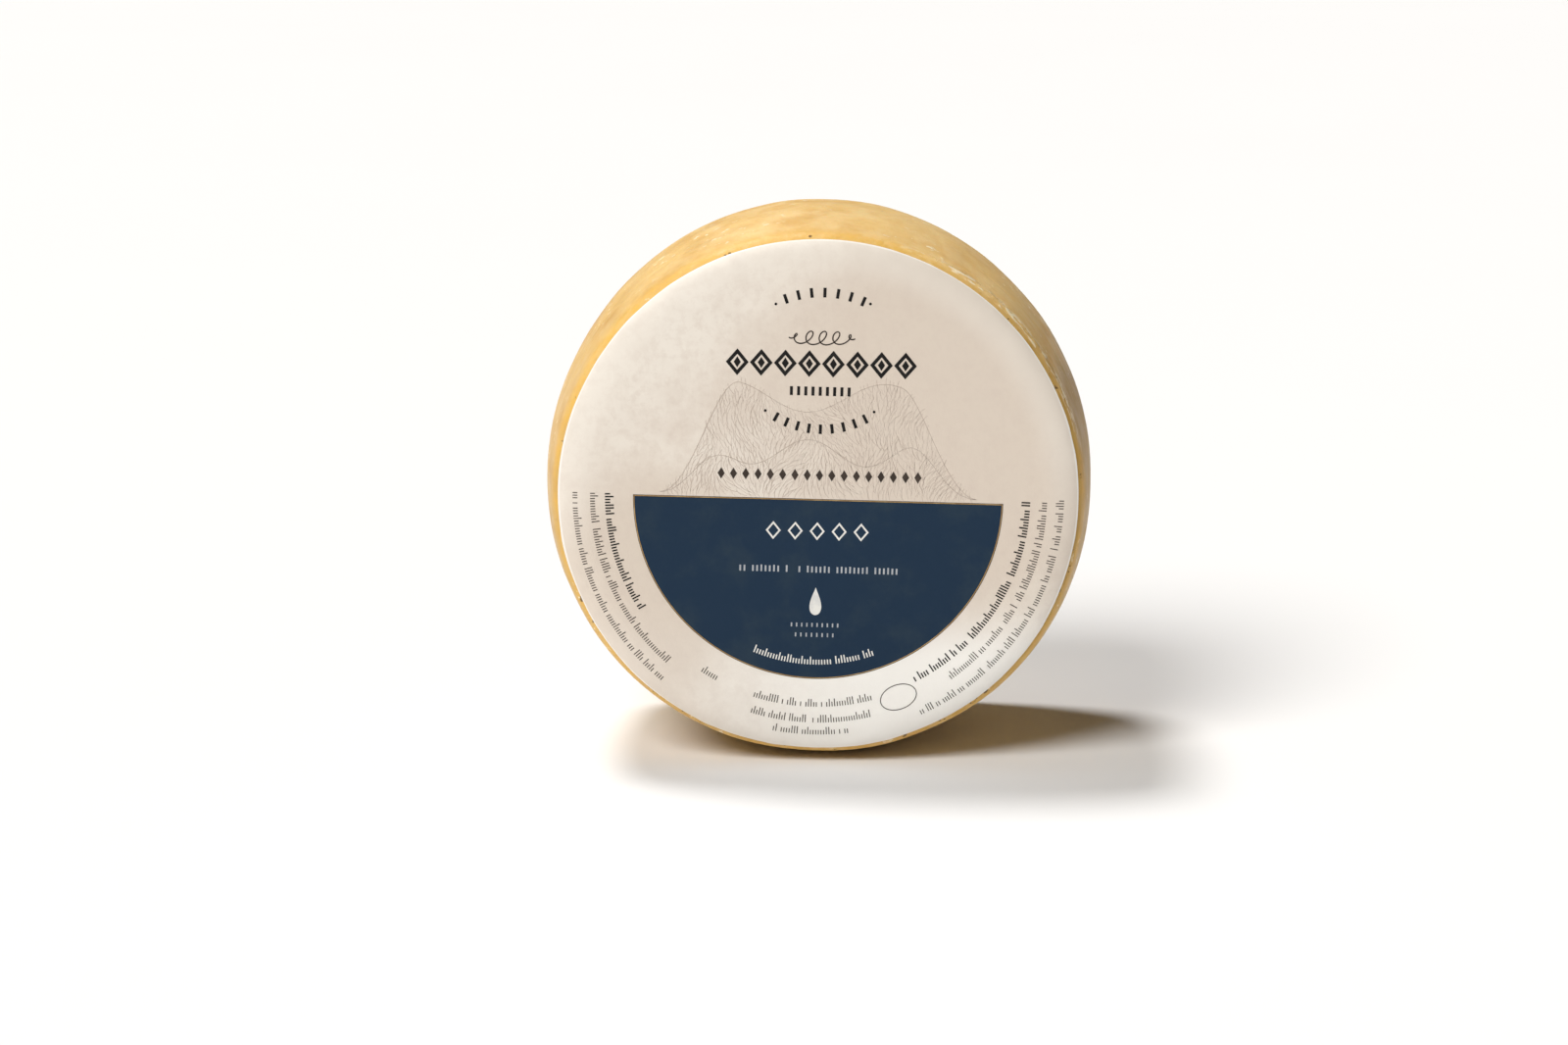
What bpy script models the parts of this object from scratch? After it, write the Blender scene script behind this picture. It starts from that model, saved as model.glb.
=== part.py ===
"""A whole wheel of pressed sheep's-milk cheese, standing on its rim, with a round paper label on its front.

The wheel is turned round the local Z axis, lying flat with the label on top, and an empty then stands it up:
the axis becomes world Y, the label faces -Y and the small flat spot that the cheese rests on is at z = 0.
All sizes are in metres.
"""

import math

import bmesh
import bpy
from mathutils import Matrix, Vector, noise

# The wheel
WHEEL_RADIUS = 0.090
WHEEL_THICKNESS = 0.090
RIM_BULGE = 0.0035
SHOULDER_REACH = 0.018
SHOULDER_DROP = 0.0075
SHOULDER_SQUARENESS = 3.6
REST_DEPTH = 0.0013

# The unevenness of a cheese pressed and turned by hand
OUT_OF_ROUND = ((2, 0.00032, 0.6), (3, 0.00022, 2.1), (5, 0.00012, 4.0))
LUMP_SIZE = 0.034
LUMP_HEIGHT = 0.0005
FACE_WAVE_SIZE = 0.055
FACE_WAVE_HEIGHT = 0.0005
LUMP_PLACE = Vector((3.7, 1.3, 8.2))

# The label
LABEL_RADIUS = 0.0839
LABEL_THICKNESS = 0.0004
LABEL_GAP = 0.0003
LABEL_TURN = math.radians(-1.2)
PANEL_RADIUS = 0.0597
PANEL_TOP = 0.0
PANEL_LINE = 0.0006

# Colour and roughness of each material
RIND = ((0.78, 0.53, 0.20), 0.5)
LABEL_PAPER = ((0.80, 0.74, 0.66), 0.6)
LABEL_NAVY = ((0.023, 0.038, 0.065), 0.5)
LABEL_GILT = ((0.45, 0.28, 0.08), 0.5)

# How finely the surfaces are divided
WHEEL_STEPS = 96
LABEL_STEPS = 72
FACE_RINGS = (0.0, 0.022, 0.042)
BACK_RINGS = (0.0, 0.014, 0.028, 0.042, 0.055)
RIM_ROWS = 12
SHOULDER_ROWS_INSIDE = 4
SHOULDER_ROWS_OUTSIDE = 5
MERGE = 0.00001
HALVINGS = 40
SHARP_ANGLE = math.radians(40)

HALF_THICKNESS = WHEEL_THICKNESS / 2
SHOULDER_HEIGHT = HALF_THICKNESS - SHOULDER_DROP
AXIS_HEIGHT = WHEEL_RADIUS - REST_DEPTH


def rim_radius(height):
    """Radius of the barrel-shaped rim at this height above the middle of the wheel."""
    return WHEEL_RADIUS - RIM_BULGE * (height / SHOULDER_HEIGHT) ** 2


SHOULDER_START = rim_radius(HALF_THICKNESS) - SHOULDER_REACH


def shoulder_point(turn):
    """Radius and height on the shoulder; turn goes from 0 at the face to a quarter turn at the rim."""
    power = 2 / SHOULDER_SQUARENESS
    height = SHOULDER_HEIGHT + SHOULDER_DROP * max(math.cos(turn), 0) ** power
    radius = rim_radius(height) - SHOULDER_REACH * (1 - math.sin(turn) ** power)
    return radius, height


def turn_at_radius(radius):
    """The turn at which the shoulder has this radius, found by halving."""
    low, high = 0.0, math.pi / 2
    for _ in range(HALVINGS):
        middle = (low + high) / 2
        if shoulder_point(middle)[0] < radius:
            low = middle
        else:
            high = middle
    return low


def spread(first, last, steps):
    """Values from first to last in equal steps, without first."""
    return [first + (last - first) * i / steps for i in range(1, steps + 1)]


def face_profile(rings):
    """The flat of a face and its shoulder as far as the label's edge, from the axis outwards."""
    flat = [(radius, HALF_THICKNESS) for radius in rings]
    turns = [0.0] + spread(0.0, turn_at_radius(LABEL_RADIUS), SHOULDER_ROWS_INSIDE)
    return flat + [shoulder_point(turn) for turn in turns]


def outer_shoulder():
    """The shoulder from the label's edge to the rim."""
    return [
        shoulder_point(turn)
        for turn in spread(turn_at_radius(LABEL_RADIUS), math.pi / 2, SHOULDER_ROWS_OUTSIDE)
    ]


def wheel_profile():
    """Half of the wheel's section, from the axis on top, out, down the rim and back to the axis below."""
    front = face_profile(FACE_RINGS) + outer_shoulder()
    heights = spread(SHOULDER_HEIGHT, -SHOULDER_HEIGHT, RIM_ROWS)[:-1]
    rim = [(rim_radius(height), height) for height in heights]
    back = [(radius, -height) for radius, height in face_profile(BACK_RINGS) + outer_shoulder()]
    return front + rim + back[::-1]


def unevenness(place):
    """How far the surface stands proud of the turned shape, along its normal."""
    radius = math.hypot(place.x, place.y)
    angle = math.atan2(place.y, place.x)
    rim_share = min(max((radius - SHOULDER_START) / SHOULDER_REACH, 0.0), 1.0)
    oval = sum(height * math.cos(waves * angle + start) for waves, height, start in OUT_OF_ROUND)
    lumps = LUMP_HEIGHT * noise.noise(place / LUMP_SIZE + LUMP_PLACE)
    waves = FACE_WAVE_HEIGHT * noise.noise(place / FACE_WAVE_SIZE + LUMP_PLACE)
    return (oval + lumps) * rim_share + waves * (1 - rim_share)


def material(name, colour, roughness):
    made = bpy.data.materials.new(name)
    made.use_nodes = True
    shader = made.node_tree.nodes["Principled BSDF"]
    shader.inputs["Base Color"].default_value = (*colour, 1)
    shader.inputs["Roughness"].default_value = roughness
    shader.inputs["Metallic"].default_value = 0.0
    made.diffuse_color = (*colour, 1)
    return made


def turned_mesh(name, profile, steps):
    """A mesh turned round Z from a profile of radii and heights."""
    line = bpy.data.meshes.new(name + "_profile")
    points = [(radius, 0, height) for radius, height in profile]
    line.from_pydata(points, [(i, i + 1) for i in range(len(points) - 1)], [])
    holder = bpy.data.objects.new(name + "_profile", line)
    bpy.context.scene.collection.objects.link(holder)
    screw = holder.modifiers.new("turn", "SCREW")
    screw.steps = screw.render_steps = steps
    screw.use_merge_vertices = True
    screw.merge_threshold = MERGE
    graph = bpy.context.evaluated_depsgraph_get()
    mesh = bpy.data.meshes.new_from_object(holder.evaluated_get(graph))
    mesh.name = name
    bpy.data.objects.remove(holder)
    return mesh


def raise_surface(mesh, lift):
    """Moves each point along its normal by the unevenness there and by a fixed lift."""
    normals = [vertex.normal.copy() for vertex in mesh.vertices]
    for vertex, normal in zip(mesh.vertices, normals):
        vertex.co += normal * (unevenness(vertex.co) + lift)


def cut_rest(mesh):
    """Cuts the small flat spot, on the side that faces down once the wheel stands."""
    shape = bmesh.new()
    shape.from_mesh(mesh)
    bmesh.ops.bisect_plane(
        shape,
        geom=shape.verts[:] + shape.edges[:] + shape.faces[:],
        dist=MERGE,
        plane_co=(0, -AXIS_HEIGHT, 0),
        plane_no=(0, -1, 0),
        clear_outer=True,
    )
    open_edges = [edge for edge in shape.edges if edge.is_boundary]
    bmesh.ops.contextual_create(shape, geom=open_edges)
    bmesh.ops.recalc_face_normals(shape, faces=shape.faces)
    shape.to_mesh(mesh)
    shape.free()


def print_panel(mesh):
    """Splits the label's face along the printed half disc and its gilt line, and gives each its material."""
    across = Matrix.Rotation(LABEL_TURN, 3, "Z") @ Vector((0, 1, 0))
    shape = bmesh.new()
    shape.from_mesh(mesh)
    for offset in (PANEL_TOP, PANEL_TOP - PANEL_LINE):
        bmesh.ops.bisect_plane(
            shape,
            geom=shape.verts[:] + shape.edges[:] + shape.faces[:],
            dist=MERGE,
            plane_co=across * offset,
            plane_no=across,
        )
    for face in shape.faces:
        middle = face.calc_center_median()
        radius = math.hypot(middle.x, middle.y)
        below_top = PANEL_TOP - middle.dot(across)
        if radius < PANEL_RADIUS and below_top > 0:
            inside = radius < PANEL_RADIUS - PANEL_LINE and below_top > PANEL_LINE
            face.material_index = 1 if inside else 2
    shape.to_mesh(mesh)
    shape.free()


def make_wheel(collection, stand):
    mesh = turned_mesh("wheel", wheel_profile(), WHEEL_STEPS)
    raise_surface(mesh, 0.0)
    cut_rest(mesh)
    mesh.materials.append(material("rind", *RIND))
    mesh.shade_smooth()
    mesh.set_sharp_from_angle(angle=SHARP_ANGLE)
    wheel = bpy.data.objects.new("wheel", mesh)
    collection.objects.link(wheel)
    wheel.parent = stand
    return wheel


def make_label(collection, stand):
    rings = FACE_RINGS + (PANEL_RADIUS - PANEL_LINE, PANEL_RADIUS)
    mesh = turned_mesh("label", face_profile(rings), LABEL_STEPS)
    raise_surface(mesh, LABEL_GAP)
    print_panel(mesh)
    mesh.materials.append(material("label_paper", *LABEL_PAPER))
    mesh.materials.append(material("label_navy", *LABEL_NAVY))
    mesh.materials.append(material("label_gilt", *LABEL_GILT))
    mesh.shade_smooth()
    label = bpy.data.objects.new("label", mesh)
    collection.objects.link(label)
    label.parent = stand
    sheet = label.modifiers.new("thickness", "SOLIDIFY")
    sheet.thickness = LABEL_THICKNESS
    sheet.offset = 1.0
    sheet.use_even_offset = True
    return label


def stand_upright(stand, pieces):
    """Turns the wheel's axis level and puts the origin under the middle of the whole, on the flat spot."""
    stand.rotation_euler = (math.pi / 2, 0, 0)
    bpy.context.view_layer.update()
    graph = bpy.context.evaluated_depsgraph_get()
    corners = [
        piece.evaluated_get(graph).matrix_world @ Vector(corner)
        for piece in pieces
        for corner in piece.evaluated_get(graph).bound_box
    ]
    middle_x = (min(c.x for c in corners) + max(c.x for c in corners)) / 2
    middle_y = (min(c.y for c in corners) + max(c.y for c in corners)) / 2
    stand.location = (-middle_x, -middle_y, AXIS_HEIGHT)


def main():
    for old in list(bpy.data.objects):
        bpy.data.objects.remove(old)
    collection = bpy.data.collections.new("cheese_wheel")
    bpy.context.scene.collection.children.link(collection)
    stand = bpy.data.objects.new("stand", None)
    collection.objects.link(stand)
    pieces = [make_wheel(collection, stand), make_label(collection, stand)]
    stand_upright(stand, pieces)


main()
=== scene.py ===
"""The finished looks of a whole cheese wheel with a round paper label, laid out as a Blender add-on.

The wheel stands on its rim. Its axis lies along Y, the label faces -Y and the foot is at z = 0.
All sizes are in metres.
"""

import math

import bmesh
import bpy
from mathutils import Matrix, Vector


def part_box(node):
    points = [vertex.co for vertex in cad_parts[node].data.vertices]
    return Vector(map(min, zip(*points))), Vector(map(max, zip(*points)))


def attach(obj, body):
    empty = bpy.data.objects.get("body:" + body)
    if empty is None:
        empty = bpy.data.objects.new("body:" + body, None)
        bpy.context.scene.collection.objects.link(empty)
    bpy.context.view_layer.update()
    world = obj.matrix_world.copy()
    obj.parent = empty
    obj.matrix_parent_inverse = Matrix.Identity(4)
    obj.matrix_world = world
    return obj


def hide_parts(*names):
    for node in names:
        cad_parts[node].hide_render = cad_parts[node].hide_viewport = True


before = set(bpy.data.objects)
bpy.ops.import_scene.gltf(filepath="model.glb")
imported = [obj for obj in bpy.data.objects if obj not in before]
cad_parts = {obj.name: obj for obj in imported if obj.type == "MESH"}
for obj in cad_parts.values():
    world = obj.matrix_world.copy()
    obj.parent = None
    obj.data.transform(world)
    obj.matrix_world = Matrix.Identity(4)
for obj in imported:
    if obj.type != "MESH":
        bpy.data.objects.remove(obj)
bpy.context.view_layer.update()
WHEEL_LOW, WHEEL_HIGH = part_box("wheel")
LABEL_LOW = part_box("label")[0]

bl_info = {
    "name": "Cheese wheel",
    "version": (1, 0, 0),
    "blender": (4, 5, 0),
    "location": "View3D > Sidebar > Cheese",
    "description": "Makes a whole cheese wheel with its rind, its paper label and a pale studio",
    "category": "Object",
}

# The wheel's section, as the solid has it
WHEEL_RADIUS = 0.090
WHEEL_THICKNESS = 0.090
RIM_BULGE = 0.0035
SHOULDER_REACH = 0.018
SHOULDER_DROP = 0.0075
SHOULDER_SQUARENESS = 3.6
REST_DEPTH = 0.0013
OUT_OF_ROUND = ((2, 0.00032, 0.6), (3, 0.00022, 2.1), (5, 0.00012, 4.0))
LUMP_PLACE = (3.7, 1.3, 8.2)

HALF_THICKNESS = WHEEL_THICKNESS / 2
SHOULDER_HEIGHT = HALF_THICKNESS - SHOULDER_DROP
MIDDLE = Vector((0, (WHEEL_LOW.y + WHEEL_HIGH.y) / 2, WHEEL_RADIUS - REST_DEPTH))

# How far the ink of one layer stands off the paper, and the length of a printed line's pieces
INK_LIFT = 0.00005
LINE_STEP = 0.0004

# How finely the rind and the paper are divided
RIND_STEPS = 480
PAPER_STEPS = 288
FRONT_RINGS = 10
BACK_RINGS = 22
SHOULDER_ROWS = 24
RIM_ROWS = 92
PAPER_RINGS = 26
PAPER_EDGE_ROWS = 14
MERGE = 0.00001
HALVINGS = 40
SHARP_ANGLE = math.radians(50)

# The label's seat: the rind rises to meet the paper inside this band
SEAT_LIFT = 0.0003
SEAT_START = 0.074
SEAT_END = 0.0835

MM = 0.001


# Nodes


class Wire:
    """A value that runs between nodes. Arithmetic on it adds the nodes that work it out."""

    def __init__(self, tree, socket):
        self.tree = tree
        self.socket = socket

    def __add__(self, other):
        return maths(self.tree, "ADD", self, other)

    def __sub__(self, other):
        return maths(self.tree, "SUBTRACT", self, other)

    def __rsub__(self, other):
        return maths(self.tree, "SUBTRACT", other, self)

    def __mul__(self, other):
        return maths(self.tree, "MULTIPLY", self, other)

    def twin(self, output):
        """Another output of the same node."""
        return Wire(self.tree, self.socket.node.outputs[output])


def plug(tree, value, socket):
    """Puts a wire or a plain value into a socket."""
    if isinstance(value, Wire):
        tree.links.new(value.socket, socket)
    else:
        socket.default_value = value


def node(tree, kind, **properties):
    made = tree.nodes.new(kind)
    for name, value in properties.items():
        setattr(made, name, value)
    return made


def build(tree, kind, inputs, output=0, **properties):
    """Adds a node, fills these inputs with wires or plain values, and gives one of its outputs."""
    made = node(tree, kind, **properties)
    for name, value in inputs.items():
        plug(tree, value, made.inputs[name])
    return Wire(tree, made.outputs[output])


def maths(tree, operation, *values):
    return build(tree, "ShaderNodeMath", dict(enumerate(values)), operation=operation)


def vector_maths(tree, operation, *values):
    return build(tree, "ShaderNodeVectorMath", dict(enumerate(values)), operation=operation)


def scaled(tree, vector, factor):
    return build(tree, "ShaderNodeVectorMath", {0: vector, "Scale": factor}, operation="SCALE")


def separate(tree, vector):
    """The three numbers of a vector."""
    first = build(tree, "ShaderNodeSeparateXYZ", {0: vector})
    return first, first.twin(1), first.twin(2)


def combine(tree, x, y, z):
    return build(tree, "ShaderNodeCombineXYZ", {0: x, 1: y, 2: z})


def ramp(tree, value, low, high, smooth=True):
    """0 where the value is at low or beyond, 1 at high or beyond, and a slope between them."""
    falls = low > high
    return build(tree, "ShaderNodeMapRange", {
        "Value": value,
        "From Min": high if falls else low,
        "From Max": low if falls else high,
        "To Min": 1.0 if falls else 0.0,
        "To Max": 0.0 if falls else 1.0,
    }, interpolation_type="SMOOTHSTEP" if smooth else "LINEAR")


def between(share, low, high):
    """A share from 0 to 1, made to run from low to high."""
    return share * (high - low) + low


def ring(tree, radius, inner, outer):
    """1 inside a ring round the axis, with a soft inner and a soft outer edge."""
    return ramp(tree, radius, *inner) * ramp(tree, radius, *outer)


def noise_at(tree, place, per_metre, detail=2.0, roughness=0.5, shift=(0, 0, 0)):
    """Noise from 0 to 1. per_metre is one number, or three where the pattern is stretched."""
    if isinstance(per_metre, (int, float)):
        per_metre = (per_metre, per_metre, per_metre)
    moved = vector_maths(tree, "ADD", vector_maths(tree, "MULTIPLY", place, per_metre), shift)
    return build(tree, "ShaderNodeTexNoise", {
        "Vector": moved,
        "Scale": 1.0,
        "Detail": detail,
        "Roughness": roughness,
    })


def pattern(tree, place, low, high, **noise):
    """Noise that is 0 up to low and 1 from high on, with a soft slope between them."""
    return ramp(tree, noise_at(tree, place, **noise), low, high)


def position(tree):
    return build(tree, "GeometryNodeInputPosition", {})


def move_to(tree, geometry, place):
    return build(tree, "GeometryNodeSetPosition", {"Geometry": geometry, "Position": place})


def move_by(tree, geometry, offset):
    return build(tree, "GeometryNodeSetPosition", {"Geometry": geometry, "Offset": offset})


def unit_grid(tree, columns, rows):
    """A flat grid that reaches from -0.5 to 0.5 both ways."""
    return build(tree, "GeometryNodeMeshGrid", {
        "Size X": 1.0,
        "Size Y": 1.0,
        "Vertices X": columns,
        "Vertices Y": rows,
    })


def merged(tree, geometry):
    """Joins the points that fall on one another."""
    return build(tree, "GeometryNodeMergeByDistance", {"Geometry": geometry, "Distance": MERGE})


def new_tree(name, inputs):
    """A geometry tree with these named inputs, each a socket type and a default."""
    tree = bpy.data.node_groups.new(name, "GeometryNodeTree")
    tree.interface.new_socket("Geometry", in_out="INPUT", socket_type="NodeSocketGeometry")
    tree.interface.new_socket("Geometry", in_out="OUTPUT", socket_type="NodeSocketGeometry")
    for label, (kind, default) in inputs.items():
        item = tree.interface.new_socket(label, in_out="INPUT", socket_type=kind)
        if default is not None:
            item.default_value = default
    source = node(tree, "NodeGroupInput")
    return tree, {socket.name: Wire(tree, socket) for socket in source.outputs if socket.name}


def end_tree(tree, geometry, material):
    """Ends a tree in Realize Instances and Set Material."""
    real = build(tree, "GeometryNodeRealizeInstances", {"Geometry": geometry})
    painted = build(tree, "GeometryNodeSetMaterial", {"Geometry": real, "Material": material})
    plug(tree, painted, node(tree, "NodeGroupOutput").inputs["Geometry"])


def use_tree(piece, tree, values):
    """Adds a geometry tree to a piece, with its inputs set by their sockets' identifiers."""
    modifier = piece.modifiers.new(tree.name, "NODES")
    modifier.node_group = tree
    for item in tree.interface.items_tree:
        if item.item_type == "SOCKET" and item.in_out == "INPUT" and item.name in values:
            modifier[item.identifier] = values[item.name]
    return modifier


def floats(**inputs):
    return {name.replace("_", " ").title(): ("NodeSocketFloat", value) for name, value in inputs.items()}


# Pieces


def new_piece(name, data):
    piece = bpy.data.objects.new(name, data)
    bpy.context.scene.collection.objects.link(piece)
    return piece


def plain_mesh(piece):
    """Replaces a piece by the plain mesh that its modifiers make."""
    name = piece.name
    piece.name = name + "_source"
    graph = bpy.context.evaluated_depsgraph_get()
    mesh = bpy.data.meshes.new_from_object(piece.evaluated_get(graph))
    if not mesh.polygons:
        raise RuntimeError(f"{name} came out empty")
    mesh.name = name
    made = new_piece(name, mesh)
    bpy.data.objects.remove(piece)
    return made


def hand_over(piece, slot, *nodes):
    """Lets a finished piece ride on the wheel's body and hides the nodes that it stands for. The slot is not
    used.
    """
    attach(piece, "root")
    if nodes:
        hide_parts(*nodes)


# The wheel's shape


def rim_radius(height):
    """Radius of the barrel-shaped rim at this height above the middle of the wheel."""
    return WHEEL_RADIUS - RIM_BULGE * (height / SHOULDER_HEIGHT) ** 2


SHOULDER_START = rim_radius(HALF_THICKNESS) - SHOULDER_REACH


def shoulder_point(turn):
    """Radius and height on the shoulder; turn goes from 0 at the face to a quarter turn at the rim."""
    power = 2 / SHOULDER_SQUARENESS
    height = SHOULDER_HEIGHT + SHOULDER_DROP * max(math.cos(turn), 0) ** power
    radius = rim_radius(height) - SHOULDER_REACH * (1 - math.sin(turn) ** power)
    return radius, height


def turn_at_radius(radius):
    """The turn at which the shoulder has this radius, found by halving."""
    low, high = 0.0, math.pi / 2
    for _ in range(HALVINGS):
        middle = (low + high) / 2
        if shoulder_point(middle)[0] < radius:
            low = middle
        else:
            high = middle
    return low


def spread(first, last, steps):
    """Values from first to last in equal steps, both included."""
    return [first + (last - first) * i / steps for i in range(steps + 1)]


def smooth_step(value):
    value = min(max(value, 0.0), 1.0)
    return value * value * (3 - 2 * value)


def seat_lift(radius):
    """How far the rind under the paper stands proud of the solid's face."""
    return SEAT_LIFT * (1 - smooth_step((radius - SEAT_START) / (SEAT_END - SEAT_START)))


def half_profile(rings, rows, last_turn):
    """Radii and heights from the middle of a face out to a turn on its shoulder."""
    flat = [(radius, HALF_THICKNESS) for radius in spread(0.0, SHOULDER_START, rings)]
    return flat + [shoulder_point(turn) for turn in spread(0.0, last_turn, rows)[1:]]


def rind_profile():
    """The wheel's section from the middle of the back, round the rim, to the middle of the front."""
    back = [(radius, -height) for radius, height in half_profile(BACK_RINGS, SHOULDER_ROWS, math.pi / 2)]
    heights = spread(-SHOULDER_HEIGHT, SHOULDER_HEIGHT, RIM_ROWS)[1:-1]
    rim = [(rim_radius(height), height) for height in heights]
    front = half_profile(FRONT_RINGS, SHOULDER_ROWS, math.pi / 2)
    front = [(radius, height + seat_lift(radius)) for radius, height in front]
    return back + rim + front[::-1]


def paper_profile(radius, clearance):
    """The label's section from its edge to its middle."""
    outline = half_profile(PAPER_RINGS, PAPER_EDGE_ROWS, turn_at_radius(radius))
    return [(reach, height + seat_lift(reach) + clearance) for reach, height in outline[::-1]]


def profile_line(name, points):
    """An object that holds a profile as a line of points, with the radius as X and the height as Z."""
    line = bpy.data.meshes.new(name)
    line.from_pydata([(radius, 0, height) for radius, height in points],
                     [(i, i + 1) for i in range(len(points) - 1)], [])
    return new_piece(name, line)


def turn_profile(tree, geometry, steps):
    """Turns a profile line round the wheel's axis and closes its seam."""
    rows = build(tree, "GeometryNodeAttributeDomainSize", {"Geometry": geometry}, "Point Count",
                 component="MESH")
    grid = unit_grid(tree, steps + 1, rows)
    place = position(tree)
    column, row, _ = separate(tree, place)
    index = maths(tree, "ROUND", (row + 0.5) * (rows - 1))
    sample = build(tree, "GeometryNodeSampleIndex", {
        "Geometry": geometry,
        "Value": place,
        "Index": index,
    }, data_type="FLOAT_VECTOR", domain="POINT")
    radius, _, height = separate(tree, sample)
    angle = (column + 0.5) * math.tau
    turned = combine(
        tree,
        radius * maths(tree, "COSINE", angle) + MIDDLE.x,
        MIDDLE.y - height,
        radius * maths(tree, "SINE", angle) + MIDDLE.z,
    )
    return merged(tree, move_to(tree, grid, turned))


def raise_along_normal(tree, geometry, height):
    """Moves each point along its normal."""
    normal = build(tree, "GeometryNodeInputNormal", {})
    return move_by(tree, geometry, scaled(tree, normal, height))


class WheelPlace:
    """Where a point lies on the wheel: its place from the middle, and its way across, out and round."""

    def __init__(self, tree, place):
        self.place = place
        self.x, self.across, self.z = separate(tree, place)
        self.radius = maths(tree, "SQRT", self.x * self.x + self.z * self.z)
        self.angle = maths(tree, "ARCTAN2", self.z, self.x)


def here_on_wheel(tree):
    """The place of the point that a geometry tree is working on."""
    return WheelPlace(tree, vector_maths(tree, "SUBTRACT", position(tree), MIDDLE))


def unevenness(tree, at, lump_height, wave_height):
    """The slow unevenness of a cheese pressed and turned by hand, which the label follows too."""
    rim_share = ramp(tree, at.radius, SHOULDER_START, SHOULDER_START + SHOULDER_REACH, smooth=False)
    height = noise_at(tree, at.place, **LUMPS) - 0.5
    height = height * lump_height * 2.0
    for waves, rise, start in OUT_OF_ROUND:
        height = height + maths(tree, "COSINE", at.angle * waves + start) * rise
    face = (noise_at(tree, at.place, **FACE_WAVES) - 0.5) * wave_height * 2.0
    return height * rim_share + face * (1.0 - rim_share)


# Noise patterns of the shape: how many to a metre, and where a pattern starts and is full
LUMPS = dict(per_metre=29.0, detail=1.0, shift=LUMP_PLACE)
FACE_WAVES = dict(per_metre=18.0, detail=0.0, shift=LUMP_PLACE)
STREAKS = dict(per_metre=(36, 130, 36), detail=3.0)
SKIN_GRAIN = dict(per_metre=620, detail=1.0)
CREASE_WANDERING = dict(per_metre=24.0, detail=2.0)
CREASE_STRETCHES = dict(per_metre=(30, 5, 30), low=0.38, high=0.60, detail=1.0, shift=(4, 0, 7))
KNOBS = dict(per_metre=(420, 560, 420), low=0.42, high=0.70, detail=2.0, shift=(9, 2, 5))
PUCKERS = dict(per_metre=(95, 5, 95), low=0.45, high=0.75, detail=1.0, shift=(2, 0, 3))

# Place across the wheel, half width and share of the full depth of each crease round the rim
CREASES = ((-0.0235, 0.00055, 1.0), (-0.0115, 0.0004, 0.5), (0.0085, 0.0005, 0.7), (0.0265, 0.0005, 0.9))
CREASE_WANDER = 0.0018

# The stretch of the front shoulder, as angles round the axis, where the skin is rough and glossy
ROUGH_PATCH_MIDDLE = math.radians(42)
ROUGH_PATCH_REACH = math.radians(34)
ROUGH_SHAPE_CORE = 0.1
ROUGH_COLOUR_CORE = 0.3
KNOBS_ELSEWHERE = 0.15

# Where the front begins across the wheel, and the ring of rough skin, as radii from the axis
FRONT_SHAPE = (-0.030, -0.034)
KNOB_RING = ((0.0842, 0.0856), (0.0884, 0.0868))
BARE_EDGE = (0.0004, -0.0004)
PUCKER_EDGE = (-0.012, -0.001)


def rough_patch(tree, angle, core):
    """1 in the middle of the rough stretch, as far as core, and 0 beyond its reach."""
    return ramp(tree, maths(tree, "ABSOLUTE", angle - ROUGH_PATCH_MIDDLE), ROUGH_PATCH_REACH, core)


def crease_relief(tree, at, depth):
    """Grooves that wander round the rim and fade in and out."""
    wander = (noise_at(tree, at.place, **CREASE_WANDERING) - 0.5) * (2 * CREASE_WANDER)
    stretches = pattern(tree, at.place, **CREASE_STRETCHES)
    grooves = []
    for line, width, share in CREASES:
        off = maths(tree, "ABSOLUTE", at.across + wander - line)
        grooves.append(ramp(tree, off, 2 * width, 0.0) * stretches * share * depth)
    return grooves


def rind_tree():
    """Turns the wheel's section, then raises lumps, streaks, creases and the rough skin of the shoulder."""
    tree, wires = new_tree("Turned Cheese", {
        "Steps": ("NodeSocketInt", RIND_STEPS),
        **floats(lump_height=0.0, wave_height=0.0, streak_height=0.0, crease_depth=0.0, knob_height=0.0),
        **floats(bare_radius=0.0),
        "Material": ("NodeSocketMaterial", None),
    })
    solid = turn_profile(tree, wires["Geometry"], wires["Steps"])
    at = here_on_wheel(tree)
    slow = unevenness(tree, at, wires["Lump Height"], wires["Wave Height"])

    front = ramp(tree, at.across, *FRONT_SHAPE)
    covered = front * ramp(tree, at.radius - wires["Bare Radius"], *BARE_EDGE)
    streaks = (noise_at(tree, at.place, **STREAKS) - 0.5) * wires["Streak Height"] * 2.0
    grain = (noise_at(tree, at.place, **SKIN_GRAIN) - 0.5) * wires["Streak Height"]
    relief = streaks + grain
    for groove in crease_relief(tree, at, wires["Crease Depth"]):
        relief = relief - groove
    crest = ring(tree, at.radius, *KNOB_RING) * front
    rough = rough_patch(tree, at.angle, ROUGH_SHAPE_CORE) + KNOBS_ELSEWHERE
    relief = relief + pattern(tree, at.place, **KNOBS) * crest * rough * wires["Knob Height"]

    raised = raise_along_normal(tree, solid, slow + relief * (1.0 - covered))
    x, y, z = separate(tree, position(tree))
    above_floor = combine(tree, x, y, maths(tree, "MAXIMUM", z, 0.0))
    end_tree(tree, move_to(tree, raised, above_floor), wires["Material"])
    return tree


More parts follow.
